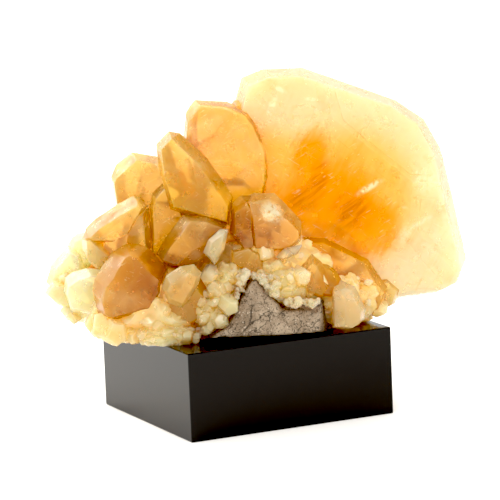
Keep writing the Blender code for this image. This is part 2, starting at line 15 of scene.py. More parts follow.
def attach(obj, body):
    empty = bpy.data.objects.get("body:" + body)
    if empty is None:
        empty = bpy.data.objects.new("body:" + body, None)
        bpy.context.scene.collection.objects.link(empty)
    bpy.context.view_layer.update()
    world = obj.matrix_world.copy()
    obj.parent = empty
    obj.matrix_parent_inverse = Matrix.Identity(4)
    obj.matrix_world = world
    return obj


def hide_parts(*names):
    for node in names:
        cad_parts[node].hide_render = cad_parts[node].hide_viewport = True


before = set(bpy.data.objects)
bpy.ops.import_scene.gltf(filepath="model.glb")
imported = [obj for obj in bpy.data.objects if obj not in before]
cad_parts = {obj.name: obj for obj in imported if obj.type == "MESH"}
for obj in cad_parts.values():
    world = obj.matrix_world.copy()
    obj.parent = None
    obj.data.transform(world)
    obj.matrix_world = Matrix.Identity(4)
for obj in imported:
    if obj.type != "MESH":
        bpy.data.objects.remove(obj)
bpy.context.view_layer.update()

# Driving dimensions, in millimetres and degrees, as the frame has them
BLOCK_HEIGHT = 25.0
SPECIMEN_TURN = -25.4
MM = 0.001

# The crystals' surface: lengths in millimetres, the angle in degrees, the rest as shares
LONGEST_EDGE = 1.5
BLADE_LONGEST_EDGE = 1.875
EDGE_BEVEL = 0.28
SMALL_BEVEL = 0.12
BEVEL_ROOM = 2.2
SLIVER = 0.01
SMALLEST_STEP = 0.0005
RIM_STEEPNESS = 0.6
SHARP_ANGLE = 32
RELIEF = 0.11
BROAD_RELIEF_SIZE = 7.5
FINE_RELIEF_SIZE = 4.2
FINE_RELIEF_SHARE = 0.3
RESTING_GAP = 0.02
CUT_TOLERANCE = 1e-5
CORNER_MERGE = 0.02
CUBE_REACH = 3
ROCK_PLACE_GAP = 0.12

# Growth plates: how many faces have one, and their size, slope, height and shift off the face's middle
PLATE_SHARE = 0.6
SMALLEST_PLATED_FACE = 90.0
PLATE_SIZES = (0.6, 0.88)
PLATE_SLOPE = 0.985
PLATE_HEIGHTS = (0.10, 0.26)
PLATE_SHIFTS = (0.0, 0.35)
FINE_SEED = 7

# The crust's lumps, which swell by shares of their half widths, the flat facets on them and their
# small crystals: (how many, smallest and largest radius)
LUMP_DETAIL = 5
NOISE_SHIFT = 0.37
BROAD_SWELLS = 2.3
FINE_SWELLS = 5.1
SWELL = 0.13
FACET_SIZE = 2.8
FACET_HEIGHT = 1.15
FACET_BEND = 0.3
FACET_BEND_SIZE = 5
FACET_DRAW = 9.7
FACET_LEAN = 1.3
FACET_STEP = 0.6
FACET_DOME = 0.5
DOME_EDGE = 0.4
CRUST_GRAIN = 0.12
CRUST_GRAIN_SIZE = 1.1
HALF = Vector((0.5, 0.5, 0.5))
DRUSE_SEED = 41
SCATTERED_DRUSE = (60, 1.4, 3.2)
FINE_DRUSE = (260, 0.5, 1.4)
EDGE_DRUSE = (110, 0.4, 1.1)
DRUSE_ASKEW = 0.45
DRUSE_SPREAD = (-0.5, 0.5)
DRUSE_RISE = (-0.1, 0.8)
DRUSE_SLENDERNESS = (2.4, 3.4)
DRUSE_SQUASH = (0.65, 1.25)
DRUSE_CAP_TILTS = (38, 44.6, 52)
LOWEST_RISE = -0.25
LOWEST_DRUSE = 0.6

# The rock's surface: the size and height of its swells, of its grain and of the clefts in it
ROCK_FINENESS = 0.55
ROCK_SWELL_SIZE, ROCK_SWELL = 4.5, 0.35
ROCK_GRAIN_SIZE, ROCK_GRAIN = 0.9, 0.22
ROCK_CLEFT_SIZE, ROCK_CLEFT = 2.4, 0.18
CLEFT_STEEPNESS = 3

# The photograph's camera: a square picture taken from far off
PICTURE_SIDE = 500
FOCAL_PIXELS = 3214.4
CAMERA_AZIMUTH = 25.42
CAMERA_ELEVATION = 9.76
CAMERA_ROLL = -2.3
CAMERA_DISTANCE = 0.8839
CAMERA_TARGET = (-0.011485, -0.03001, 0.05174)
SENSOR_WIDTH = 36.0


# Convex solids from planes


def cut_to_planes(planes, middle, reach):
    """The convex solid, as a bmesh, that lies behind every (point, normal) plane, within reach of middle."""
    solid = bmesh.new()
    bmesh.ops.create_cube(solid, size=2 * reach, matrix=Matrix.Translation(middle))
    for point, normal in planes:
        bmesh.ops.bisect_plane(
            solid, geom=solid.verts[:] + solid.edges[:] + solid.faces[:], dist=CUT_TOLERANCE,
            plane_co=point, plane_no=normal, clear_outer=True,
        )
        rim = [edge for edge in solid.edges if edge.is_boundary]
        if rim:
            bmesh.ops.contextual_create(solid, geom=rim)
    bmesh.ops.remove_doubles(solid, verts=solid.verts[:], dist=CORNER_MERGE)
    bmesh.ops.recalc_face_normals(solid, faces=solid.faces[:])
    return solid


def outward_edges(outline):
    """(middle of the edge, unit normal pointing out) for each edge of a convex (across, up) outline."""
    centre = sum((Vector(p) for p in outline), Vector((0, 0))) / len(outline)
    for start, end in zip(outline, outline[1:] + outline[:1]):
        start, end = Vector(start), Vector(end)
        along = end - start
        normal = Vector((along.y, -along.x)).normalized()
        middle = (start + end) / 2
        if normal.dot(middle - centre) < 0:
            normal = -normal
        yield middle, normal


def tilted(side, direction, tilt):
    """The normal of a face that looks forward (side -1) or back (side 1), tilted towards a direction."""
    lie, rise = radians(direction), radians(tilt)
    return Vector((cos(lie) * sin(rise), side * cos(rise), sin(lie) * sin(rise)))


def crystal(
    outline, away, front, back, caps=(), rim=14, swing=6, phase=0, lean=(0.0, 0.0), back_caps=(), grow=0.0
):
    """A crystal with flat faces, as a bmesh.

    outline is its widest section, seen from the show side, as (across, up) corners, at depth away.
    Each side of it carries a front face and a back face, which lean inwards by rim degrees, more and
    less in turn by swing, three times round, as a trigonal crystal's do. front and back are how far it
    stands out. caps are (across, up, height, direction, tilt): broad faces across the front through a
    point that stands height above the outline's plane, tilted towards a direction; back_caps are the
    same behind. lean slides the crystal in depth by so much for each millimetre across and up. grow
    moves every face outwards.
    """
    centre = sum((Vector(p) for p in outline), Vector((0, 0))) / len(outline)
    planes = []
    for middle, normal in outward_edges(outline):
        turn = 3 * (atan2(normal.y, normal.x) - radians(phase))
        for side in (-1, 1):
            tilt = radians(rim - side * swing * cos(turn))
            face = Vector((normal.x * cos(tilt), side * sin(tilt), normal.y * cos(tilt)))
            planes.append((Vector((middle.x, away, middle.y)), face))
    planes.append((Vector((centre.x, away - front, centre.y)), Vector((0, -1, 0))))
    planes.append((Vector((centre.x, away + back, centre.y)), Vector((0, 1, 0))))
    for side, faces in ((-1, caps), (1, back_caps)):
        for across, up, height, direction, tilt in faces:
            planes.append((Vector((across, away + side * height, up)), tilted(side, direction, tilt)))
    planes = [(point + normal * grow, normal) for point, normal in planes]
    reach = CUBE_REACH * max((Vector(p) - centre).length for p in outline)
    solid = cut_to_planes(planes, Vector((centre.x, away, centre.y)), reach)
    for vertex in solid.verts:
        vertex.co.y += lean[0] * (vertex.co.x - centre.x) + lean[1] * (vertex.co.z - centre.y)
    return solid


def small_crystal(radius, length, cap_tilt):
    """A stubby six-sided calcite prism about Z, ended by the three faces of a rhombohedron."""
    planes = []
    for side in range(6):
        turn = radians(60 * side)
        normal = Vector((cos(turn), sin(turn), 0))
        planes.append((normal * radius, normal))
    tilt = radians(cap_tilt)
    for end in (1, -1):
        for side in range(3):
            turn = radians(120 * side + 60 * (end < 0))
            flat = Vector((cos(turn), sin(turn), 0))
            face = flat * sin(tilt) + Vector((0, 0, end * cos(tilt)))
            planes.append((Vector((0, 0, end * length / 2)), face))
    return cut_to_planes(planes, Vector((0, 0, 0)), 2 * (radius + length))


def pointing(direction, spin):
    """The rotation that turns +Z to direction, after a spin about it."""
    return Vector(direction).to_track_quat("Z", "Y").to_matrix().to_4x4() @ Matrix.Rotation(spin, 4, "Z")


# The specimen's crystals


def large_crystal():
    """The great pale blade behind, with the facets of its right and upper edges."""
    outline = [
        (-5, 46), (0, 62.8), (2, 69.4), (8, 71.6), (19.7, 71.5), (45.9, 61), (53.8, 55.2),
        (58.3, 46.9), (64.6, 14.9), (61.9, 8.4), (55.5, 5.4), (40, 4), (6, 8), (-6, 24),
    ]
    caps = [
        (41.5, 46.5, 11.9, 49, 15),
        (52, 30, 11.4, -8, 9),
        (16, 58, 11.6, 105, 9),
        (10, 44, 11.6, 168, 9),
        (38, 22, 11.7, -70, 7),
    ]
    back_caps = [(30, 40, 13.5, 150, 14), (30, 40, 13.5, 20, 17), (30, 40, 13.5, 262, 12)]
    return crystal(
        outline, 9, 12, 15, caps, rim=11, swing=4, phase=20, lean=(0.05, 0.10), back_caps=back_caps
    )


# The blocks that the camera sees: tint, outline, depth, reach in front and behind, caps, rim, phase and lean
CRYSTALS = [
    # the blocks that climb from the middle to the upper left
    ("peach",
     [(-15.5, 52), (-14.1, 61.3), (-12.8, 63.2), (-11.4, 64.7), (-2.4, 63.7), (4.4, 60.4), (6.8, 57),
      (9.2, 50.2), (9.3, 43.2), (6.5, 35), (-1, 29), (-11, 31), (-15.6, 42)], 0, 8, 13,
     [(-8, 55, 6.8, 118, 12), (-3, 50, 7.4, 12, 7), (-6, 44, 6.9, -80, 10), (5, 50, 6.2, 8, 20)],
     13, 10, (0.10, 0.20)),
    ("peach", [(-2.6, 61.0), (-0.8, 63.7), (2.3, 63.3), (5.6, 61.2), (7, 57), (4, 46), (-8, 46), (-7, 56)],
     5, 7, 11, [(2, 57, 6.2, 70, 14)], 13, 50, (0.10, 0.20)),
    ("amber",
     [(-22.6, 54), (-19, 57.6), (-15.9, 56.8), (-8.8, 49.8), (-3.2, 41), (-1.7, 38.2), (-3.1, 30.3),
      (-7, 31.6), (-19.2, 35.2), (-22.2, 47.5)], -10, 8, 13,
     [(-13, 46, 6.4, 155, 6), (-10, 44, 6.4, 38, 9), (-11, 40, 6.4, -62, 8)], 15, 35, (0.10, 0.12)),
    ("gold", [(-36.3, 43.3), (-34.7, 46.7), (-30.1, 50.1), (-22.9, 48.8), (-17, 43), (-17, 32), (-26, 28),
      (-35.2, 33)], 3, 9, 12, [(-28, 43, 7, 112, 12), (-27, 39, 7, -60, 9), (-29, 40, 7, 190, 8)],
     15, 0, (-0.10, 0.15)),
    ("umber", [(-25.4, 36), (-24.5, 39.5), (-21.6, 42), (-17.5, 41), (-14.5, 33), (-18, 22), (-25.4, 22)],
     -6, 6, 11, [(-22, 36, 5, 60, 10), (-21, 31, 5, -55, 12)], 13, 25, (-0.05, 0.1)),
    # the broad block in three steps of growth, and the egg-shaped one below it
    ("honey", [(-44.7, 27.6), (-43.4, 30.9), (-39.3, 34.6), (-34.7, 37), (-30.2, 39.7), (-27.8, 39.1),
      (-25.7, 36.9), (-30.5, 29.6), (-36.4, 26.4), (-42.4, 26.6)], -9, 8, 13,
     [(-35, 33, 6.6, 125, 13), (-34, 31, 6.6, -50, 7)], 14, 5, (-0.15, 0.14)),
    ("yellow", [(-38.4, 31.4), (-31.5, 35), (-25.4, 36.6), (-25.2, 24.6), (-29, 20), (-37, 19), (-41, 24)],
     -7, 8, 13, [(-30, 28, 6.6, -35, 17), (-33, 27, 6.8, 230, 9)], 12, 20, (-0.12, 0.10)),
    ("lobe", [(-44.8, 28), (-41, 30), (-36, 25), (-36.5, 20), (-40, 18.6), (-43.6, 21.6), (-44.8, 24.5)],
     -8, 7.5, 12, [(-42, 24, 5.8, 200, 19), (-39, 24, 6, -40, 11)], 13, 40, (-0.15, 0.10)),
    ("egg", [(-42.1, 14.4), (-41.3, 17.8), (-38.6, 22), (-35.9, 25.3), (-32, 27.5), (-28.6, 27.5),
      (-25.7, 26.3), (-20.8, 20.8), (-21.5, 14), (-26.4, 7.2), (-35, 5), (-40.5, 7.2)], -19, 10, 14,
     [(-33, 20, 8.6, 105, 14), (-36, 16, 8.3, 190, 17), (-28, 16, 8.3, -5, 16), (-32, 11, 8.3, 265, 15),
      (-28, 21, 8.2, 50, 19), (-38, 21, 8.0, 145, 22)], 20, 40, (-0.12, 0.10)),
    # the smoky crystal in the centre, the bright-faced one beside it and the chips between them
    ("smoky", [(-15.8, 34.6), (-8.9, 34.2), (-3.4, 31.6), (-4.8, 28), (-10.4, 22.4), (-12.7, 20.4),
      (-18, 19.4), (-21.5, 20.9), (-23.6, 24.3), (-21, 28.6)], -16, 9, 14,
     [(-13, 30, 6.8, 100, 12), (-18, 27, 6.6, 165, 13), (-13, 25.4, 7.3, -58, 31), (-9, 30, 6.6, 20, 12)],
     14, 20, (0.10, 0.14)),
    ("brown", [(-3, 29), (-2.2, 37.2), (0.4, 39.2), (3.4, 39.2), (5.7, 35.8), (5.5, 26), (1, 23)],
     -15, 7.5, 13, [(1, 34, 6.2, 150, 15), (3, 32, 6.2, 15, 9), (2, 29, 6.0, -80, 16)],
     16, 10, (0.0, 0.12)),
    ("bright",
     [(0.5, 38.4), (4.5, 39.6), (10, 39.3), (13.6, 35.4), (17.3, 30.9), (17.1, 25.6), (13.7, 22.6),
      (2, 23.4)], -13, 8, 14,
     [(8.8, 35.4, 6.4, 60, 27), (9.8, 33, 7.2, 8, 15), (9, 30, 7.4, -80, 13), (14.6, 31, 6.2, 40, 33)],
     15, 50, (0.12, 0.10)),
    ("chip", [(0.6, 36), (1.2, 40), (3.8, 41.2), (6, 39.8), (6.6, 35.5)], -4, 3, 4,
     [(3.6, 39, 2.5, 80, 25)], 25, 0, (0, 0)),
    ("clear", [(-10.6, 25.4), (-9, 28.9), (-5.6, 31.8), (-3.3, 31.6), (-4.6, 26), (-7.4, 21.6)], -25, 3, 8,
     [(-6.6, 27, 2.8, 150, 20), (-6.2, 27, 2.8, -30, 24)], 24, 30, (0, 0)),
    ("umber", [(-3, 20.6), (-2.7, 25), (2, 26.2), (6, 23.4), (7.2, 19), (3, 17)], -19, 4, 9,
     [(0, 23, 3.2, 130, 12), (3, 21, 3.2, -20, 14)], 17, 15, (0.05, 0.12)),
    ("cream", [(9.4, 22.4), (12, 24.8), (17.2, 25.6), (15.6, 23), (11.3, 21.2)], -20, 2, 6,
     [(13, 23.6, 1.5, -60, 14)], 30, 0, (0, 0)),
    # the clear bead low in front with the crystal it sits on, and the pale blocks round the rock
    ("bead", [(-22.4, 16.8), (-20.9, 20.1), (-17, 22.3), (-13.1, 22.8), (-11, 20.2), (-12.1, 17),
      (-15.5, 12), (-17.2, 10.9), (-20.6, 12.4)], -29, 4.5, 7,
     [(-17, 19, 3.8, 120, 22), (-15, 17, 3.8, 0, 24), (-17, 15, 3.8, -105, 22), (-19, 17, 3.7, 190, 20)],
     26, 15, (0.1, 0.1)),
    ("under",
     [(-27.2, 10.4), (-24.4, 16.8), (-20.3, 20.9), (-13, 20), (-10, 15), (-9, 8), (-14, 4), (-25, 4)],
     -22, 5, 10, [(-20, 12, 4.6, 150, 12), (-15, 11, 4.6, -20, 12)], 22, 45, (0, 0)),
    ("cream", [(24.6, 1.2), (24.7, 11.8), (25.4, 13.8), (27.8, 14.4), (31.6, 12.4), (34.4, 6), (33.8, 3),
      (29.4, 0.4)], -17, 6, 11, [(27.5, 9, 5, 175, 15), (30, 8, 5, -5, 12), (30, 10, 5, 55, 15)],
     15, 0, (0.1, 0.1)),
    ("fan", [(16.3, 19), (19.7, 22.4), (22.4, 20), (24.4, 13.6), (22, 10), (17.4, 11.5)], -18, 4.5, 10,
     [(19, 18, 3.6, 160, 14), (21, 16, 3.6, -10, 20)], 18, 30, (0.05, 0.15)),
    ("flame", [(21, 18.6), (22.4, 19.8), (26, 17.4), (28.8, 13), (25.2, 9.4), (21.4, 10)], -15, 4.5, 9,
     [(24, 15, 3.6, 50, 18), (25, 12, 3.6, -60, 14)], 18, 0, (0.05, 0.15)),
    ("ledge", [(14, 20), (17.4, 25.6), (24, 24.8), (35.8, 18.2), (41, 10), (38, 2.5), (28, 2), (18, 8)],
     -7, 6, 14, [(26, 18, 5.2, 60, 19), (28, 12, 5.4, -70, 12), (20, 16, 5.6, 190, 10)],
     16, 20, (0.1, 0.1)),
    ("toe", [(33, 6), (36, 12), (41, 12.5), (45, 8.5), (43.2, 4.4), (36.6, 1.4)], -2, 5, 10,
     [(39, 8, 4, 120, 18), (40, 7, 4, -40, 16)], 18, 0, (0, 0)),
]


def pale_crystals():
    """The very pale blocks that overhang the left side."""
    shapes = [
        ([(-51, 12.6), (-50.2, 16.4), (-48.1, 17.9), (-44, 19), (-38, 18), (-37, 8), (-41, 4.6),
          (-48.8, 6.3)],
         -6, 8, 12, [(-46, 14, 6, 140, 15), (-43, 12, 6, 20, 10), (-45, 9, 6, -95, 15)], 10),
        ([(-56.4, 13.2), (-54.6, 18.4), (-49.6, 23.8), (-45, 22), (-43, 14), (-50, 8.6)],
         4, 6, 9, [(-50, 16, 5, 140, 14), (-49, 15, 5, -60, 12)], 30),
        ([(-51.5, 21), (-47.9, 26.6), (-45, 27.3), (-40, 25), (-40, 15), (-47, 14)],
         6, 6, 9, [(-45, 21, 5, 120, 13), (-44, 20, 5, -30, 14)], 0),
        ([(-56.7, 11.4), (-54.3, 14.6), (-48, 14), (-47, 7), (-52.5, 7.4)],
         -1, 5, 7, [(-52, 11, 4, 150, 18), (-51, 10, 4, -50, 15)], 50),
        ([(-52.5, 5.6), (-49, 11), (-42, 10), (-38, 4), (-42.5, 1.2), (-50.8, 3.2)],
         0, 7, 9, [(-46, 6, 5, 110, 18), (-46, 5, 5, -90, 15)], 20),
    ]
    return [
        crystal(outline, away, front, back, caps, rim=17, phase=phase, lean=(-0.15, 0.05))
        for outline, away, front, back, caps, phase in shapes
    ]


def rear_crystals():
    """The blocks on the side turned away from the viewer."""
    shapes = [
        ([(-35, 19), (-33, 30), (-26, 35), (-16, 33), (-13, 23), (-20, 14), (-31, 13)],
         13, 6, 12, [(-24, 27, 9.5, 110, 16), (-24, 23, 9.5, -60, 14), (-29, 24, 9.5, 190, 20)], 0),
        ([(-15, 25), (-14, 37), (-8, 42), (0, 41), (5, 34), (3, 25), (-6, 20)],
         14, 6, 13, [(-5, 34, 10, 80, 18), (-5, 29, 10, -110, 15), (-2, 32, 10, 0, 17)], 25),
        ([(2, 15), (4, 27), (10, 31), (17, 28), (20, 18), (13, 10)],
         16, 5, 11, [(10, 24, 8.5, 100, 15), (11, 19, 8.5, -70, 16)], 10),
        ([(-47, 10), (-46, 18), (-41, 22), (-33, 21), (-30, 13), (-36, 6)],
         7, 6, 12, [(-40, 16, 9, 130, 20), (-38, 13, 9, -50, 16)], 40),
        ([(-25, 9), (-25, 18), (-18, 24), (-9, 22), (-6, 13), (-13, 7)],
         17, 5, 9, [(-16, 18, 7, 70, 17), (-16, 14, 7, -100, 14), (-20, 16, 7, 180, 16)], 15),
        ([(-31, 33), (-29, 43), (-23, 46), (-16, 44), (-12, 35), (-20, 30)],
         8, 5, 11, [(-22, 40, 8.5, 95, 16), (-22, 36, 8.5, -80, 15)], 5),
        ([(18, 9), (18, 18), (24, 22), (31, 18), (34, 11), (27, 6)],
         15, 5, 9, [(24, 16, 7, 80, 18), (26, 12, 7, -40, 15)], 30),
        ([(-14, 41), (-12, 51), (-6, 54), (1, 52), (5, 44), (-4, 38)],
         8, 5, 10, [(-5, 48, 8, 100, 15), (-4, 44, 8, -60, 16)], 45),
    ]
    return [
        crystal(outline, away, front, back, (), rim=15, phase=phase, lean=(0.0, -0.15), back_caps=back_caps)
        for outline, away, front, back, back_caps, phase in shapes
    ]


# The massive crust that the crystals grow from, and the small crystals on it

CRUST_LUMPS = [
    # (across, away, up) of the middle, and the half widths
    ((-24, -9, 8), (17, 19, 11)),
    ((6, -7, 14), (21, 16, 12.5)),
    ((-10, 5, 22), (24, 14, 17)),
    ((27, -3, 8), (12.5, 15, 9)),
    ((-41, 1, 10), (9, 10, 7.5)),
    ((14, 12, 16), (22, 12, 14)),
    ((-31.5, -15, 4.5), (10, 10, 5.5)),
    ((-21.5, -21.5, 2.4), (8.5, 8, 5)),
    ((-9.5, -21.5, 7.5), (5.5, 5.5, 4.2)),
    ((-6.5, -20.5, 12), (4.5, 6, 6)),
    ((11, -19.5, 14), (8, 6, 5)),
]
DRUSE_PATCHES = [
    # (across, away, up) of the middle, half widths, how many, smallest and largest radius, side they face
    ((2, -17.5, 24), (6, 2, 2.5), 7, 1.5, 2.6, -1),
    ((-6.5, -23, 15.5), (3, 2, 4), 14, 1.0, 2.3, -1),
    ((-9, -25, 7.5), (3, 2, 4), 10, 0.9, 2.0, -1),
    ((13, -19.5, 14.5), (6, 2, 3.5), 14, 1.2, 2.6, -1),
    ((22, -16, 13), (4, 2, 3.5), 5, 1.2, 2.4, -1),
    ((-27, -22, 3.5), (14, 5, 2.5), 18, 1.0, 2.6, -1),
    ((-48, 0, 12), (6, 6, 8), 12, 1.2, 2.8, -1),
    ((35, -4, 8.5), (5, 5, 4.5), 9, 1.0, 2.4, -1),
    ((17, 23, 13), (11, 3, 6), 12, 1.4, 3.2, 1),
    ((-26, 17, 9), (9, 4, 4), 8, 1.4, 3.0, 1),
    ((-44, 10, 9), (6, 5, 5), 7, 1.2, 2.6, 1),
]


def druse_crystal(dice, place, outward, radius):
    """One small crystal that stands out of the crust, a little askew and seldom equal all round."""
    spread = Vector([dice.uniform(-DRUSE_ASKEW, DRUSE_ASKEW) for _ in range(3)])
    solid = small_crystal(radius, radius * dice.uniform(*DRUSE_SLENDERNESS), dice.choice(DRUSE_CAP_TILTS))
    squash = Matrix.Diagonal((dice.uniform(*DRUSE_SQUASH), dice.uniform(*DRUSE_SQUASH), 1, 1))
    solid.transform(Matrix.Translation(place) @ pointing(outward + spread, dice.uniform(0, pi)) @ squash)
    return solid


def scattered_druse(dice, how_many, smallest, largest):
    """Small crystals at places drawn round the crust's lumps."""
    made = []
    while len(made) < how_many:
        middle, half_widths = dice.choice(CRUST_LUMPS)
        turn, rise = dice.uniform(0, 2 * pi), dice.uniform(LOWEST_RISE, 1.0)
        flat = sqrt(max(0.0, 1 - rise * rise))
        ray = Vector((flat * cos(turn), flat * sin(turn), rise))
        place = Vector(middle) + Vector([r * w for r, w in zip(ray, half_widths)])
        outward = Vector([r / w for r, w in zip(ray, half_widths)]).normalized()
        radius = smallest + (largest - smallest) * dice.random() ** 2
        if place.z > LOWEST_DRUSE + radius:
            made.append(druse_crystal(dice, place, outward, radius))
    return made


def patches_of_druse(dice):
    """The clusters of small crystals that show round the rock and along the edges."""
    made = []
    for middle, half_widths, how_many, smallest, largest, side in DRUSE_PATCHES:
        for _ in range(how_many):
            place = Vector([m + w * dice.uniform(-1, 1) for m, w in zip(middle, half_widths)])
            outward = Vector((dice.uniform(*DRUSE_SPREAD), side, dice.uniform(*DRUSE_RISE)))
            made.append(druse_crystal(dice, place, outward, dice.uniform(smallest, largest)))
    return made


# The matrix rock

ROCK_CHUNKS = [
    # outline, depth, reach in front and behind, caps in front and behind, lean
    ([(-15, 0.3), (-10.5, 3.6), (-4.6, 6.8), (2, 7.2), (6, 0.3), (6, -8), (-19, -8)],
     -16, 12, 14,
     [(-6, 3, 11.6, 150, 12), (-2, 3, 11.8, 70, 14), (-6, 1.7, 11.4, -90, 76)], [], (0.18, 0.0)),
    ([(-5.2, -8), (-4.6, 6.8), (-2.2, 12), (0.4, 16.8), (2.2, 18.9), (5.6, 16.6), (8, 13.8),
      (12.4, 8.4), (14, -8)],
     -14, 12.4, 20,
     [(2, 9, 12, 165, 11), (5, 9, 12.2, 20, 9), (3, 13, 12, 85, 12), (4, 1.5, 12, -90, 74)],
     [], (0.12, 0.05)),
    ([(4, -8), (5, 9.4), (12.4, 9.8), (18, 9.3), (22, 8.6), (22, -8)],
     -12, 13.4, 20,
     [(12, 5, 13.3, 100, 10), (18, 4, 13.3, 10, 6), (14, 1.3, 13.1, -90, 77)], [], (0.12, 0.0)),
    ([(12, -8), (16.6, 8.6), (22.8, 10.9), (24, 9.8), (24.4, -8)],
     -11, 13.3, 18, [(20, 6, 13.2, 60, 8), (21, 3, 13.2, -20, 5), (20, 1.5, 13, -90, 75)], [], (0.1, 0.0)),
    ([(-34, -8), (-33, 7), (-28, 12), (-16, 15.5), (-6, 14), (0, 8), (0, -8)],
     4, 14, 14, [], [(-20, 8, 13, 125, 20), (-14, 6, 13, 30, 16), (-24, 4, 13, 215, 18)], (0.0, -0.1)),
    ([(-15, -8), (-14, 14), (-6, 19), (4, 19.5), (14, 15), (17, 8), (17, -8)],
     6, 18, 15, [], [(-3, 11, 14, 100, 19), (4, 9, 14, 20, 17), (-8, 8, 14, 190, 15)], (0.05, -0.1)),
    ([(2, -8), (5, 12), (14, 15.5), (24, 12), (28, 5), (28, -8)],
     2, 15, 13, [], [(14, 8, 12, 70, 18), (20, 5, 12, -10, 18)], (-0.05, -0.1)),
]


def rock_chunks(grow=0.0):
    """The broken chunks that make the lump of rock. grow moves their faces out, to cut its place."""
    chunks = []
    for outline, away, front, back, caps, back_caps, lean in ROCK_CHUNKS:
        shape = {"rim": 8, "swing": 5, "lean": lean, "back_caps": back_caps, "grow": grow}
        chunk = crystal(outline, away, front, back, caps, **shape)
        chunks.append(as_object("chunk", as_mesh(chunk)))
    return chunks


# Finishing one solid: growth plates, bevels, a fine mesh and its relief


def growth_plates(solid, dice):
    """Thin raised plates on some of a crystal's broad faces, with sides parallel to the face's own."""
    plates = []
    for face in solid.faces:
        if face.calc_area() < SMALLEST_PLATED_FACE or dice.random() > PLATE_SHARE:
            continue
        corners = [vertex.co.copy() for vertex in face.verts]
        middle = sum(corners, Vector()) / len(corners)
        middle = middle.lerp(dice.choice(corners), dice.uniform(*PLATE_SHIFTS))
        size, height = dice.uniform(*PLATE_SIZES), dice.uniform(*PLATE_HEIGHTS)
        plate = bmesh.new()
        spokes = [(corner - middle) * size for corner in corners]
        top = [plate.verts.new(middle + spoke * PLATE_SLOPE + face.normal * height) for spoke in spokes]
        foot = [plate.verts.new(middle + spoke - face.normal) for spoke in spokes]
        plate.faces.new(top)
        plate.faces.new(foot[::-1])
        for number in range(len(corners)):
            after = (number + 1) % len(corners)
            plate.faces.new((top[number], foot[number], foot[after], top[after]))
        plates.append(plate)
    return plates


def soften_edges(solid, width):
    """Bevels every edge, after edges too short to bevel are closed up."""
    bmesh.ops.remove_doubles(solid, verts=solid.verts[:], dist=BEVEL_ROOM * width)
    bmesh.ops.dissolve_degenerate(solid, edges=solid.edges[:], dist=SLIVER)
    bevels = bmesh.ops.bevel(
        solid, geom=solid.edges[:], offset=width, offset_type="WIDTH", segments=2, profile=0.6,
        affect="EDGES", clamp_overlap=True,
    )
    # The bevel faces are marked for the rim's painted light
    for face in bevels["faces"]:
        face.material_index = 1


def split_triangle(corners, middles):
    """The triangles that take a triangle's place when some of its sides have a middle point."""
    split = [side for side in range(3) if middles[side] is not None]
    if not split:
        return [corners]
    if len(split) == 3:
        a, b, c = corners
        ab, bc, ca = middles
        return [(a, ab, ca), (ab, b, bc), (ca, bc, c), (ab, bc, ca)]
    first = split[0] if len(split) == 1 or split[1] == split[0] + 1 else 2
    a, b, c = corners[first], corners[(first + 1) % 3], corners[(first + 2) % 3]
    ab, bc = middles[first], middles[(first + 1) % 3]
    if bc is None:
        return [(a, ab, c), (ab, b, c)]
    return [(ab, b, bc), (a, ab, bc), (a, bc, c)]


def fine_mesh(solid, longest):
    """A mesh of the solid in triangles whose sides are no longer than longest."""
    bmesh.ops.triangulate(solid, faces=solid.faces[:])
    solid.verts.index_update()
    points = [vertex.co.copy() for vertex in solid.verts]
    triangles = [tuple(vertex.index for vertex in face.verts) for face in solid.faces]
    kinds = [face.material_index for face in solid.faces]
    solid.free()
    growing = True
    while growing:
        middle_of = {}
        split, split_kinds = [], []
        for corners, kind in zip(triangles, kinds):
            middles = []
            for start, end in zip(corners, corners[1:] + corners[:1]):
                side = (min(start, end), max(start, end))
                if side not in middle_of:
                    long = (points[start] - points[end]).length > longest
                    middle_of[side] = len(points) if long else None
                    if long:
                        points.append((points[start] + points[end]) / 2)
                middles.append(middle_of[side])
            made = split_triangle(corners, middles)
            split += made
            split_kinds += [kind] * len(made)
        growing = len(split) > len(triangles)
        triangles, kinds = split, split_kinds
    mesh = bpy.data.meshes.new("part")
    mesh.from_pydata(points, [], triangles)
    mesh.polygons.foreach_set("material_index", kinds)
    return mesh


def add_relief(mesh):
    """Gentle swells and hollows on the faces, which also make the edges a little uneven."""
    normals = [normal.vector.copy() for normal in mesh.vertex_normals]
    for vertex, normal in zip(mesh.vertices, normals):
        broad = noise.noise(vertex.co / BROAD_RELIEF_SIZE)
        fine = noise.noise(vertex.co / FINE_RELIEF_SIZE + Vector((7, 3, 1)))
        vertex.co += normal * RELIEF * (broad + FINE_RELIEF_SHARE * fine)


def as_mesh(solid):
    """A mesh of the solid as it is."""
    mesh = bpy.data.meshes.new("part")
    solid.to_mesh(mesh)
    solid.free()
    return mesh


def mark_sides(solid, highlight_facet):
    """The faces round a crystal's outline take the rim's tint, which is painted light, and one facet may
    take a painted highlight.
    """
    for face in solid.faces:
        face.material_index = int(abs(face.normal.y) < RIM_STEEPNESS)
    if highlight_facet:
        # Painted highlight: the facet that faces this way is given a near-white colour
        facet = max(solid.faces, key=lambda face: face.normal.dot(tilted(-1, *highlight_facet)))
        facet.material_index = 2


def finished(solid, dice, longest, highlight_facet):
    """The crystal's meshes, finished: its body and its growth plates."""
    plates = growth_plates(solid, dice)
    mark_sides(solid, highlight_facet)
    soften_edges(solid, EDGE_BEVEL)
    meshes = [fine_mesh(part, longest) for part in [solid] + plates]
    for mesh in meshes:
        add_relief(mesh)
    return meshes


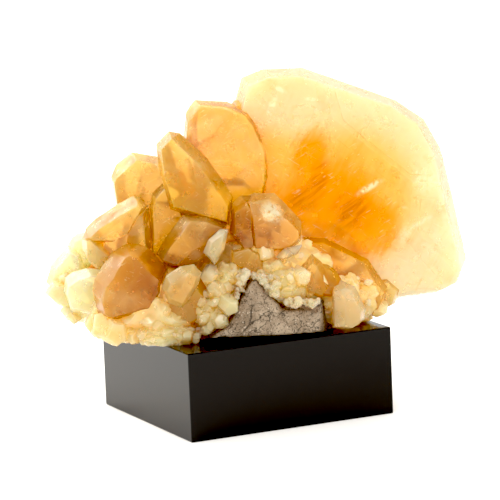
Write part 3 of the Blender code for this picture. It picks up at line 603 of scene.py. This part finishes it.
def crust_lump(middle, half_widths):
    """A low lump of massive calcite, covered with the flat tilted ends of small crystals."""
    lump = bmesh.new()
    bmesh.ops.create_icosphere(lump, subdivisions=LUMP_DETAIL, radius=1.0)
    shift = Vector(middle) * NOISE_SHIFT
    for vertex in lump.verts:
        broad = noise.noise(vertex.co * BROAD_SWELLS + shift)
        fine = noise.noise(vertex.co * FINE_SWELLS - shift)
        swell = 1 + SWELL * (broad + fine / 2)
        flat = Vector([s * w * swell for s, w in zip(vertex.co, half_widths)])
        outward = Vector([s / w for s, w in zip(vertex.co, half_widths)]).normalized()
        place = Vector(middle) + flat
        cell = place / FACET_SIZE + FACET_BEND * noise.noise_vector(place / FACET_BEND_SIZE)
        near, seeds = noise.voronoi(cell)
        lean = noise.cell_vector(seeds[0] * FACET_DRAW) - HALF
        facet = FACET_LEAN * lean.dot(cell - seeds[0]) + FACET_STEP * lean.x
        facet += FACET_DOME * min(DOME_EDGE, near[1] - near[0])
        grain = noise.noise(place / CRUST_GRAIN_SIZE)
        vertex.co = place + outward * (FACET_HEIGHT * facet + CRUST_GRAIN * grain)
    return lump


# Tints

# As linear colours: where a crystal is light, where it is deep, and the direction, in
# degrees anticlockwise from the right, in which it deepens
# The run from light to deep across each crystal is painted shade, deeper where the crystal is thicker and
# lighter where light falls on it
TINTS = {
    "blade": ((0.80, 0.60, 0.33), (0.80, 0.67, 0.41), -30),
    "peach": ((0.74, 0.38, 0.09), (0.74, 0.37, 0.04), -75),
    "amber": ((0.64, 0.39, 0.10), (0.62, 0.30, 0.02), -80),
    "gold": ((0.76, 0.47, 0.15), (0.75, 0.46, 0.09), -60),
    "umber": ((0.62, 0.36, 0.09), (0.52, 0.25, 0.03), -80),
    "honey": ((0.72, 0.38, 0.10), (0.76, 0.42, 0.11), -20),
    "yellow": ((0.82, 0.52, 0.16), (0.82, 0.52, 0.13), -90),
    "lobe": ((0.82, 0.56, 0.23), (0.82, 0.52, 0.17), -60),
    "egg": ((0.66, 0.34, 0.07), (0.36, 0.10, 0.002), -25),
    "smoky": ((0.46, 0.25, 0.06), (0.22, 0.062, 0.002), -55),
    "brown": ((0.39, 0.16, 0.015), (0.34, 0.095, 0.002), -90),
    "bright": ((0.62, 0.36, 0.12), (0.40, 0.12, 0.003), -115),
    "chip": ((0.44, 0.20, 0.02), (0.38, 0.14, 0.005), -90),
    "clear": ((0.74, 0.58, 0.34), (0.72, 0.50, 0.24), -50),
    "bead": ((0.64, 0.45, 0.20), (0.58, 0.35, 0.11), -90),
    "under": ((0.84, 0.54, 0.17), (0.78, 0.40, 0.06), 0),
    "cream": ((0.82, 0.60, 0.33), (0.80, 0.54, 0.25), -90),
    "druse": ((0.95, 0.70, 0.38), (0.93, 0.62, 0.28), -90),
    "fan": ((0.68, 0.42, 0.14), (0.60, 0.24, 0.01), -20),
    "flame": ((0.68, 0.32, 0.03), (0.66, 0.26, 0.01), -60),
    "ledge": ((0.62, 0.23, 0.003), (0.72, 0.36, 0.06), -50),
    "toe": ((0.80, 0.47, 0.10), (0.80, 0.54, 0.20), -60),
    "pale": ((0.84, 0.80, 0.48), (0.84, 0.78, 0.42), -90),
    "crust": ((0.92, 0.66, 0.31), (0.92, 0.63, 0.26), 0),
}
# Painted light: the side and bevel faces round each crystal are lightened towards these tints, to fill the
# shade in the crevices between crystals and to stand in for light coming through thin edges
RIM_PAINTED_LIGHT = (0.95, 0.79, 0.48)
RIM_PAINTED_LIGHT_SHARE = 0.8
BLADE_RIM_PAINTED_LIGHT = (0.80, 0.64, 0.36)
# Painted highlight: the near-white colour of that facet
PAINTED_HIGHLIGHT_TINT = (0.97, 0.90, 0.78)
# What the shader knows a crystal by, in the alpha of its tint. The others have 0
KINDS = {"blade": 1.0, "crust": 0.5, "druse": 0.5, "pale": 0.3}


class Tint:
    """How one crystal's colour runs over it, from light to deep, a run that is painted shade."""

    made = []

    def __init__(self, name, points):
        self.light, self.deep, direction = TINTS[name]
        self.way = Vector((cos(radians(direction)), 0, sin(radians(direction))))
        reaches = [self.way.dot(point) for point in points]
        self.start, self.end = min(reaches), max(reaches)
        self.number = 3 * len(Tint.made)
        self.rim, self.share = (BLADE_RIM_PAINTED_LIGHT, 1.0) if name == "blade" else (RIM_PAINTED_LIGHT, RIM_PAINTED_LIGHT_SHARE)
        self.kind = KINDS.get(name, 0.0)
        Tint.made.append(self)

    def at(self, point, kind):
        """The colour at a point of a face, of a rim lightened with painted light or of a facet with a
        painted highlight, and the kind of crystal.
        """
        # Painted shade: the colour deepens across the crystal in one direction
        depth = min(1.0, max(0.0, (self.way.dot(point) - self.start) / (self.end - self.start)))
        colour = Vector(self.light).lerp(Vector(self.deep), depth * depth * (3 - 2 * depth))
        # Painted light on the rims, and a painted highlight on one facet
        if kind == 1:
            colour = colour.lerp(Vector(self.rim), self.share)
        if kind == 2:
            colour = Vector(PAINTED_HIGHLIGHT_TINT)
        return (*colour, max(self.kind, 0.5 * kind))


# Joining solids

FINISH_HOLDER = bpy.data.materials.new("tint_holder")
SLAB_SIDE = 300
SLAB_DEPTH = 40


def as_object(name, mesh, tint=None, slots=0):
    """An object of its own for one mesh, with the tint's number on its faces."""
    if tint:
        mesh.materials.clear()
        for _ in range(slots):
            mesh.materials.append(FINISH_HOLDER)
        for face in mesh.polygons:
            face.material_index += tint.number
    return bpy.data.objects.new(name, mesh)


def shown(thing):
    """Puts an object in the scene."""
    bpy.context.scene.collection.objects.link(thing)
    return thing


def apply_changes(thing):
    """Gives an object the mesh that its modifiers make."""
    graph = bpy.context.evaluated_depsgraph_get()
    result = bpy.data.meshes.new_from_object(thing.evaluated_get(graph))
    thing.modifiers.clear()
    thing.data = result


def combine(target, others, operation):
    """Joins or cuts target with all the others at once, and removes them."""
    group = bpy.data.collections.new("others")
    for other in others:
        group.objects.link(other)
    change = target.modifiers.new("combine", "BOOLEAN")
    change.operation = operation
    change.operand_type = "COLLECTION"
    change.collection = group
    change.solver = "MANIFOLD"
    apply_changes(target)
    for other in others:
        bpy.data.objects.remove(other)
    bpy.data.collections.remove(group)


def slab_below():
    """A slab that ends just above the block's top face."""
    slab = bmesh.new()
    bmesh.ops.create_cube(slab, size=1.0)
    bmesh.ops.scale(slab, vec=(SLAB_SIDE, SLAB_SIDE, SLAB_DEPTH), verts=slab.verts[:])
    bmesh.ops.translate(slab, vec=(0, 0, RESTING_GAP - SLAB_DEPTH / 2), verts=slab.verts[:])
    return as_object("slab", as_mesh(slab))


def put_in_place(mesh):
    """Turns the specimen on the block, lifts it onto the top face and gives it its real size."""
    turn = Matrix.Rotation(radians(SPECIMEN_TURN), 4, "Z")
    lift = Matrix.Translation((0, 0, BLOCK_HEIGHT))
    mesh.transform(Matrix.Scale(MM, 4) @ lift @ turn)


def largest_body(mesh):
    """Keeps the largest connected body of a mesh and drops slivers."""
    solid = bmesh.new()
    solid.from_mesh(mesh)
    bmesh.ops.remove_doubles(solid, verts=solid.verts[:], dist=SMALLEST_STEP)
    bmesh.ops.dissolve_degenerate(solid, edges=solid.edges[:], dist=SMALLEST_STEP)
    bmesh.ops.triangulate(solid, faces=solid.faces[:])
    remaining, bodies = set(solid.verts), []
    while remaining:
        start = remaining.pop()
        body, edge_of_search = {start}, [start]
        while edge_of_search:
            vertex = edge_of_search.pop()
            for edge in vertex.link_edges:
                other = edge.other_vert(vertex)
                if other in remaining:
                    remaining.discard(other)
                    body.add(other)
                    edge_of_search.append(other)
        bodies.append(body)
    largest = max(bodies, key=len)
    bmesh.ops.delete(solid, geom=[v for v in solid.verts if v not in largest], context="VERTS")
    solid.to_mesh(mesh)
    solid.free()


# The pieces

# The facet of a crystal that gets a painted highlight: the direction and tilt of its face
PAINTED_HIGHLIGHT_FACETS = {"bright": (60, 27)}
# The upper edge of the rock's front, as (across, up), and how far forward the crust overlaps it
ROCK_EDGE = [
    (-14.5, 1.6), (-10.5, 4.6), (-5.2, 7.8), (-3.4, 11), (-0.6, 16.4), (2.2, 19.2), (5.8, 16.8), (8.4, 13.8),
    (12.4, 10), (18, 9.6), (22.8, 11),
]
EDGE_DEPTH = (-27.5, -24.0)
# Crust that shows only here: (across, away, up) of the middle, and the half widths
SMALL_LUMPS = [((-3.5, -20, 17.5), (4.5, 6, 4.0))]
REAR_TINTS = ["honey", "gold", "gold", "peach", "cream", "gold", "cream", "peach"]


def edge_druse(dice, how_many, smallest, largest):
    """Small crystals that hide the line where the crust meets the rock."""
    made = []
    for _ in range(how_many):
        start = dice.randrange(len(ROCK_EDGE) - 1)
        share = dice.random()
        across, up = Vector(ROCK_EDGE[start]).lerp(Vector(ROCK_EDGE[start + 1]), share)
        place = Vector((across + dice.gauss(0, 0.5), dice.uniform(*EDGE_DEPTH), up + dice.gauss(0.3, 0.6)))
        outward = Vector((dice.uniform(-0.6, 0.6), -1, dice.uniform(-0.2, 0.6)))
        made.append(druse_crystal(dice, place, outward, dice.uniform(smallest, largest)))
    return made


def large_solids():
    """(name of its tint, solid) for every large crystal."""
    yield "blade", large_crystal()
    for name, outline, away, front, back, caps, rim, phase, lean in CRYSTALS:
        yield name, crystal(outline, away, front, back, caps, rim=rim, phase=phase, lean=lean)
    for solid in pale_crystals():
        yield "pale", solid
    yield from zip(REAR_TINTS, rear_crystals())


def tinted_meshes():
    """(mesh, tint) for every crystal, lump and druse crystal of the calcite."""
    dice = random.Random(DRUSE_SEED)
    fine_dice = random.Random(FINE_SEED)
    for name, solid in large_solids():
        longest = BLADE_LONGEST_EDGE if name == "blade" else LONGEST_EDGE
        tint = Tint(name, [vertex.co for vertex in solid.verts])
        for mesh in finished(solid, fine_dice, longest, PAINTED_HIGHLIGHT_FACETS.get(name)):
            yield mesh, tint
    around = [Vector((0, 0, 0)), Vector((0, 0, 30))]
    druse, crust = Tint("druse", around), Tint("crust", [Vector((-50, 0, 0)), Vector((50, 0, 0))])
    for solid in scattered_druse(dice, *SCATTERED_DRUSE) + patches_of_druse(dice):
        soften_edges(solid, SMALL_BEVEL)
        yield as_mesh(solid), druse
    for solid in scattered_druse(fine_dice, *FINE_DRUSE) + edge_druse(fine_dice, *EDGE_DRUSE):
        yield as_mesh(solid), druse
    for middle, half_widths in CRUST_LUMPS + SMALL_LUMPS:
        yield as_mesh(crust_lump(middle, half_widths)), crust


def calcite_crystals():
    """All the calcite in one mesh, with each crystal's tint on its faces, painted shade and painted light
    included.
    """
    meshes = list(tinted_meshes())
    slots = 3 * len(Tint.made)
    parts = [as_object("part", mesh, tint, slots) for mesh, tint in meshes]
    calcite = shown(parts[0])
    combine(calcite, parts[1:], "UNION")
    combine(calcite, [slab_below()], "DIFFERENCE")
    combine(calcite, rock_chunks(ROCK_PLACE_GAP), "DIFFERENCE")
    calcite.name = "calcite_cluster"
    mesh = calcite.data
    mesh.name = "calcite_cluster"
    largest_body(mesh)
    # The tint carries each crystal's colour with its painted shade, the painted light of the rims and the
    # painted highlight of one facet
    tints = mesh.attributes.new("tint", "FLOAT_COLOR", "CORNER")
    for face in mesh.polygons:
        tint, kind = Tint.made[face.material_index // 3], face.material_index % 3
        for corner in face.loop_indices:
            point = mesh.vertices[mesh.loops[corner].vertex_index].co
            tints.data[corner].color = tint.at(point, kind)
        face.material_index = 0
    mesh.materials.clear()
    put_in_place(mesh)
    mesh.shade_smooth()
    mesh.set_sharp_from_angle(angle=radians(SHARP_ANGLE))
    return calcite


def matrix_rock():
    """The lump of grey rock, broken and granular."""
    chunks = rock_chunks()
    lump = shown(chunks[0])
    combine(lump, chunks[1:], "UNION")
    remesh = lump.modifiers.new("even", "REMESH")
    remesh.mode = "VOXEL"
    remesh.voxel_size = ROCK_FINENESS
    apply_changes(lump)
    mesh = lump.data
    solid = bmesh.new()
    solid.from_mesh(mesh)
    solid.normal_update()
    for vertex in solid.verts:
        place = vertex.co.copy()
        broad = noise.noise(place / ROCK_SWELL_SIZE)
        grain = noise.noise(place / ROCK_GRAIN_SIZE)
        near = noise.voronoi(place / ROCK_CLEFT_SIZE)[0]
        cleft = 1 - min(1.0, CLEFT_STEEPNESS * (near[1] - near[0]))
        vertex.co += vertex.normal * (ROCK_SWELL * broad + ROCK_GRAIN * grain - ROCK_CLEFT * cleft)
    for vertex in solid.verts:
        vertex.co.z = max(vertex.co.z, RESTING_GAP)
    solid.to_mesh(mesh)
    solid.free()
    put_in_place(mesh)
    mesh.shade_smooth()
    lump.name = "rock_lump"
    mesh.name = "rock_lump"
    return lump


# Materials

# How far from an ellipsoid's skin to its middle a zone reaches its full strength
ZONE_CORE = 0.8


class Surface:
    """A node material written with short calls, each of which gives back an output socket."""

    def __init__(self, name):
        self.material = bpy.data.materials.new(name)
        self.material.use_nodes = True
        self.tree = self.material.node_tree
        self.shader = self.tree.nodes["Principled BSDF"]
        self.output = self.tree.nodes["Material Output"]
        raw = self.node("TexCoord").outputs["Object"]
        turn = (0, 0, radians(-SPECIMEN_TURN))
        self.place = self.node(
            "Mapping",
            {"Vector": raw, "Rotation": turn, "Scale": (1 / MM,) * 3, "Location": (0, 0, -BLOCK_HEIGHT)},
        ).outputs[0]

    def feed(self, socket, value):
        """Links an output socket to an input, or sets the input's value."""
        if isinstance(value, bpy.types.NodeSocket):
            self.tree.links.new(value, socket)
        else:
            socket.default_value = value

    def give(self, name, value):
        """Feeds one of the shader's own sockets."""
        self.feed(self.shader.inputs[name], value)

    def node(self, kind, inputs=None, **settings):
        made = self.tree.nodes.new("ShaderNode" + kind)
        for name, value in settings.items():
            setattr(made, name, value)
        for name, value in (inputs or {}).items():
            self.feed(made.inputs[name], value)
        return made

    def maths(self, operation, first, second=0.0):
        made = self.node("Math", operation=operation)
        self.feed(made.inputs[0], first)
        self.feed(made.inputs[1], second)
        return made.outputs[0]

    def times(self, first, second):
        return self.maths("MULTIPLY", first, second)

    def mix(self, factor, first, second):
        """A colour between two, by a factor from 0 to 1."""
        made = self.node("Mix", data_type="RGBA")
        self.feed(made.inputs[0], factor)
        for socket, colour in ((made.inputs[6], first), (made.inputs[7], second)):
            self.feed(socket, colour if isinstance(colour, bpy.types.NodeSocket) else (*colour, 1.0))
        return made.outputs[2]

    def spread(self, value, lowest, highest, least=0.0, most=1.0):
        """value from lowest to highest becomes least to most."""
        made = self.node("MapRange", interpolation_type="SMOOTHSTEP")
        for socket, number in zip(made.inputs, (value, lowest, highest, least, most)):
            self.feed(socket, number)
        return made.outputs[0]

    def placed(self, middle, turn, widths):
        """The specimen's frame, moved to middle, turned in the plane of its show side and scaled."""
        turns = (0, radians(turn), 0)
        inputs = {"Vector": self.place, "Location": middle, "Rotation": turns, "Scale": widths}
        return self.node("Mapping", inputs, vector_type="TEXTURE").outputs[0]

    def noise(self, size, detail=3.0, roughness=0.55, length=1, turn=0, shift=(0, 0, 0)):
        """A noise from 0 to 1 with features of about size millimetres, length times as long as wide."""
        where = self.placed(shift, turn, (size * length, size, size))
        inputs = {"Vector": where, "Scale": 1.0, "Detail": detail, "Roughness": roughness}
        return self.node("TexNoise", inputs).outputs["Fac"]

    def zone(self, middle, half_widths, turn=0):
        """1 round the middle of an ellipsoid and 0 from its skin out, in the specimen's frame."""
        where = self.placed(middle, turn, half_widths)
        ball = self.node("TexGradient", {"Vector": where}, gradient_type="SPHERICAL")
        return self.spread(ball.outputs["Fac"], 0.0, ZONE_CORE)

    def layer(self, colour, second, value, lowest, highest, most=1.0):
        """colour, covered with a second one where value is high, by up to most."""
        return self.mix(self.spread(value, lowest, highest, 0.0, most), colour, second)


# Linear colours
COLOURS = {
    "cloud": (0.86, 0.69, 0.34),
    "heart": (0.60, 0.26, 0.02),
    "golden": (0.80, 0.43, 0.04),
    "plume": (0.80, 0.31, 0.006),
    "strand": (0.50, 0.15, 0.001),
    # pale marks and veils, also used for painted highlights
    "pale_mark_and_highlight": (0.92, 0.82, 0.56),
    "hair": (0.94, 0.80, 0.50),
    "rock": (0.22, 0.16, 0.105),
    "pale rock": (0.36, 0.28, 0.195),
    "stain": (0.08, 0.06, 0.045),
    "speck": (0.045, 0.035, 0.025),
    "grain": (0.60, 0.52, 0.42),
    "crack": (0.03, 0.022, 0.016),
}
# The deep orange plume in the blade, as ellipsoids: middle, half widths and turn about the depth axis
PLUME = [
    ((26, 0, 35), (23, 40, 20), 0),
    ((20.5, 0, 47), (8, 40, 13), 12),
    ((36, 0, 28), (14, 40, 14), 0),
    ((16, 0, 34), (13, 40, 8), -20),
]
# The golden ground that it stands in
GOLDEN_ZONES = [((8, 0, 40), (26, 40, 24)), ((30, 0, 36), (32, 40, 30))]
# Its darkest strands
PLUME_DEPTHS = [
    ((31.5, 0, 31.5), (9, 40, 8), -30),
    ((18.5, 0, 36), (7, 40, 5), 0),
    ((23, 0, 42), (4, 40, 8), 10),
]
# White marks and veils, with three painted highlights among them: middle, half widths, turn and strength
PALE_MARKS_AND_PAINTED_HIGHLIGHTS = [
    ((37, 0, 38.3), (5.5, 30, 1.3), -27, 0.9),
    ((46.5, 0, 24.5), (4.5, 30, 2.2), -50, 0.5),
    ((51, 0, 27.5), (6.0, 30, 1.0), -25, 0.6),
    # painted highlight: a bright glint on the blade's face
    ((53, 0, 39.5), (5.0, 30, 6.0), 0, 0.5),
    ((12.5, 0, 67), (3.2, 30, 1.0), 30, 0.8),
    ((10.3, 0, 62.3), (4.2, 30, 1.3), -65, 0.9),
    ((21.4, 0, 63.8), (3.0, 30, 0.8), 8, 0.8),
    # painted highlight: a glint at the smoky crystal's upper edge
    ((-15.4, -24, 33.2), (2.6, 7, 1.0), -62, 1.0),
    ((-7.6, -18, 48.0), (11.0, 8, 3.2), 48, 0.7),
    # painted highlight: the bright facet of the bright-faced crystal
    ((9.0, -20, 35.0), (4.6, 9, 3.6), 25, 1.3),
]


def streaks(look, size, length, turn, lowest, highest):
    """Hair-fine marks, some of them missing, that run in one direction across the show side."""
    hairs = look.noise(size, detail=2, length=length, turn=turn)
    gaps = look.noise(size * 9, detail=1, shift=(turn, 0, 0))
    hairs = look.spread(hairs, lowest, highest)
    return look.times(hairs, look.spread(gaps, 0.5, 0.62))


def calcite_finish():
    """Honey calcite: cloudy and see-through, deep orange in its heart and pale at its rims, a paleness that
    is painted light.
    """
    look = Surface("honey_calcite")
    attribute = look.node("Attribute", attribute_name="tint")
    # The tint attribute brings painted shade, painted light on the rims and a painted highlight with the
    # crystals' colours
    tint, kind = attribute.outputs["Color"], attribute.outputs["Alpha"]
    blade = look.spread(kind, 0.6, 0.9)
    clouds = look.noise(9, detail=5, roughness=0.6)
    colour = look.layer(tint, COLOURS["cloud"], clouds, 0.45, 0.75, 0.3)
    depths = look.noise(11, detail=4, roughness=0.6, shift=(30, 0, 0))
    colour = look.layer(colour, COLOURS["heart"], depths, 0.5, 0.75, 0.35)
    plume = 0.0
    for middle, half_widths, turn in PLUME:
        plume = look.maths("MAXIMUM", plume, look.zone(middle, half_widths, turn))
    feather = look.noise(1.3, detail=4, roughness=0.6, length=7, turn=-58)
    patchy = look.noise(6, detail=4, roughness=0.6)
    ragged = look.maths("ADD", look.times(feather, 0.9), look.times(patchy, 0.9))
    plume = look.maths("ADD", plume, look.maths("SUBTRACT", ragged, 0.9))
    plume = look.times(look.spread(plume, 0.0, 0.85), blade)
    golden = look.maths("MAXIMUM", *(look.zone(middle, widths) for middle, widths in GOLDEN_ZONES))
    golden = look.times(look.spread(golden, 0.0, 0.8, 0.0, 0.85), blade)
    colour = look.mix(golden, colour, COLOURS["golden"])
    colour = look.mix(plume, colour, COLOURS["plume"])
    strands = look.noise(0.9, detail=3, roughness=0.6, length=12, turn=-35)
    strands = look.spread(strands, 0.35, 0.65, 0.15, 1.0)
    for middle, half_widths, turn in PLUME_DEPTHS:
        depth = look.times(look.zone(middle, half_widths, turn), strands)
        colour = look.mix(look.times(depth, blade), colour, COLOURS["strand"])
    torn = look.spread(look.noise(1.1, detail=4, roughness=0.7), 0.36, 0.56)
    # Pale marks and veils, and painted highlights
    for middle, half_widths, turn, strength in PALE_MARKS_AND_PAINTED_HIGHLIGHTS:
        patch = look.times(look.zone(middle, half_widths, turn), look.times(torn, strength))
        colour = look.mix(patch, colour, COLOURS["pale_mark_and_highlight"])
    hairs = look.maths(
        "MAXIMUM",
        streaks(look, 0.45, 14, -28, 0.62, 0.72),
        streaks(look, 0.5, 11, 35, 0.64, 0.74),
    )
    colour = look.mix(look.times(hairs, 0.5), colour, COLOURS["hair"])
    look.give("Base Color", colour)
    dull = look.noise(3.0, detail=3)
    look.give("Roughness", look.spread(dull, 0.3, 0.7, 0.12, 0.30))
    look.give("IOR", 1.49)
    look.give("Specular IOR Level", 0.16)
    look.give("Subsurface Weight", 1.0)
    look.give("Subsurface Radius", (1.0, 0.8, 0.6))
    look.give("Subsurface Scale", 0.018)
    look.give("Transmission Weight", look.spread(kind, 0.0, 0.5, 0.60, 0.40))
    absorb = look.node("VolumeAbsorption", {"Color": (1.0, 0.86, 0.40, 1.0), "Density": 17.0})
    look.feed(look.output.inputs["Volume"], absorb.outputs[0])
    return look.material


def rock_finish():
    """Grey-beige rock with fine dark specks and cracks."""
    look = Surface("grey_rock")
    broad = look.noise(5, detail=4)
    colour = look.layer(COLOURS["rock"], COLOURS["pale rock"], broad, 0.35, 0.7)
    stains = look.noise(3.2, detail=3, shift=(9, 4, 2))
    colour = look.layer(colour, COLOURS["stain"], stains, 0.60, 0.75, 0.7)
    specks = look.noise(0.55, detail=4, roughness=0.8)
    colour = look.layer(colour, COLOURS["speck"], specks, 0.52, 0.60, 0.85)
    grains = look.noise(0.7, detail=3, roughness=0.7, shift=(5, 5, 5))
    colour = look.layer(colour, COLOURS["grain"], grains, 0.60, 0.68, 0.6)
    bend = look.noise(2.5, detail=3, shift=(1, 2, 3))
    bends = look.node("CombineXYZ", {0: bend, 1: bend, 2: bend}).outputs[0]
    where = look.node("VectorMath", {0: look.place, 1: (0.16, 0.16, 0.16)}, operation="MULTIPLY")
    where = look.node("VectorMath", {0: where.outputs[0], 1: bends}, operation="ADD")
    inputs = {"Vector": where.outputs[0], "Scale": 1.0}
    cracks = look.node("TexVoronoi", inputs, feature="DISTANCE_TO_EDGE")
    thin = look.spread(cracks.outputs["Distance"], 0.0, 0.045, 0.85, 0.0)
    colour = look.mix(thin, colour, COLOURS["crack"])
    look.give("Base Color", colour)
    look.give("Roughness", 0.85)
    bump = look.node("Bump", {"Height": specks, "Strength": 0.6, "Distance": 0.0004})
    look.give("Normal", bump.outputs[0])
    return look.material


def block_finish():
    """Polished black block with the faintest dust."""
    look = Surface("gloss_black")
    look.give("Base Color", (0.004, 0.003, 0.0028, 1))
    dust = look.noise(0.5, detail=2)
    look.give("Roughness", look.spread(dust, 0.5, 0.8, 0.05, 0.16))
    look.give("Specular IOR Level", 0.34)
    return look.material


# Studio

WORLD_STRENGTH = 1.25
LAMPS = [
    # name, place, target, size, power, and whether it shows in reflections
    ("back", (-0.45, 1.0, 0.8), (-0.1, 0.15, 0.0), (1.1, 0.8), 22, False),
    ("key", (-0.7, -1.1, 1.5), (0, 0, 0.05), (0.5, 0.5), 12, True),
    ("front", (0.3, -1.5, 0.45), (0, 0, 0.05), (0.9, 0.5), 4, False),
    ("fill", (1.1, -0.7, 0.7), (0, 0, 0.05), (0.6, 0.5), 4, False),
]


def area_lamp(name, place, target, size, power, glossy):
    lamp = shown(bpy.data.objects.new(name, bpy.data.lights.new(name, "AREA")))
    lamp.data.shape = "RECTANGLE"
    lamp.data.size, lamp.data.size_y = size
    lamp.data.energy = power
    lamp.location = place
    lamp.rotation_euler = (Vector(target) - Vector(place)).to_track_quat("-Z", "Y").to_euler()
    lamp.visible_camera = False
    lamp.visible_glossy = glossy


def studio():
    """Soft light from all round and four lamps, over a plain pale floor."""
    world = bpy.data.worlds.new("studio")
    world.use_nodes = True
    background = world.node_tree.nodes["Background"]
    background.inputs[0].default_value = (1, 1, 1, 1)
    background.inputs[1].default_value = WORLD_STRENGTH
    bpy.context.scene.world = world
    sheet = bmesh.new()
    bmesh.ops.create_grid(sheet, x_segments=1, y_segments=1, size=4.0)
    mesh = bpy.data.meshes.new("floor")
    sheet.to_mesh(mesh)
    sheet.free()
    floor = shown(bpy.data.objects.new("floor", mesh))
    paper = Surface("white_paper")
    paper.give("Base Color", (0.94, 0.915, 0.87, 1))
    paper.give("Roughness", 0.7)
    mesh.materials.append(paper.material)
    for lamp in LAMPS:
        area_lamp(*lamp)


def camera():
    """The photograph's camera."""
    azimuth, elevation, roll = (radians(a) for a in (CAMERA_AZIMUTH, CAMERA_ELEVATION, CAMERA_ROLL))
    flat = cos(elevation)
    forward = Vector((sin(azimuth) * flat, cos(azimuth) * flat, -sin(elevation)))
    level = forward.cross(Vector((0, 0, 1))).normalized()
    upright = level.cross(forward)
    right = cos(roll) * level + sin(roll) * upright
    top = -sin(roll) * level + cos(roll) * upright
    place = Vector(CAMERA_TARGET) - forward * CAMERA_DISTANCE
    eye = shown(bpy.data.objects.new("camera", bpy.data.cameras.new("camera")))
    eye.matrix_world = Matrix(
        [(right[row], top[row], -forward[row], place[row]) for row in range(3)] + [(0, 0, 0, 1)]
    )
    eye.data.sensor_width = SENSOR_WIDTH
    eye.data.lens = SENSOR_WIDTH * FOCAL_PIXELS / PICTURE_SIDE
    bpy.context.scene.camera = eye


def render_settings():
    scene = bpy.context.scene
    scene.view_settings.view_transform = "Standard"
    scene.view_settings.use_curve_mapping = True
    scene.view_settings.curve_mapping.black_level = (0.04, 0.04, 0.04)
    scene.view_settings.curve_mapping.update()
    scene.cycles.max_bounces = 20
    scene.cycles.transmission_bounces = 16
    scene.cycles.diffuse_bounces = 5
    scene.cycles.glossy_bounces = 5
    scene.cycles.volume_bounces = 4
    scene.cycles.sample_clamp_indirect = 1.4
    scene.cycles.use_denoising = True


def main():
    camera()
    render_settings()
    studio()
    calcite = calcite_crystals()
    calcite.data.materials.append(calcite_finish())
    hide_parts("calcite_crystals")
    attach(calcite, "root")
    rock = matrix_rock()
    rock.data.materials.clear()
    rock.data.materials.append(rock_finish())
    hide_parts("matrix_rock")
    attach(rock, "root")
    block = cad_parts["display_block"]
    block.material_slots[0].material = block_finish()


main()
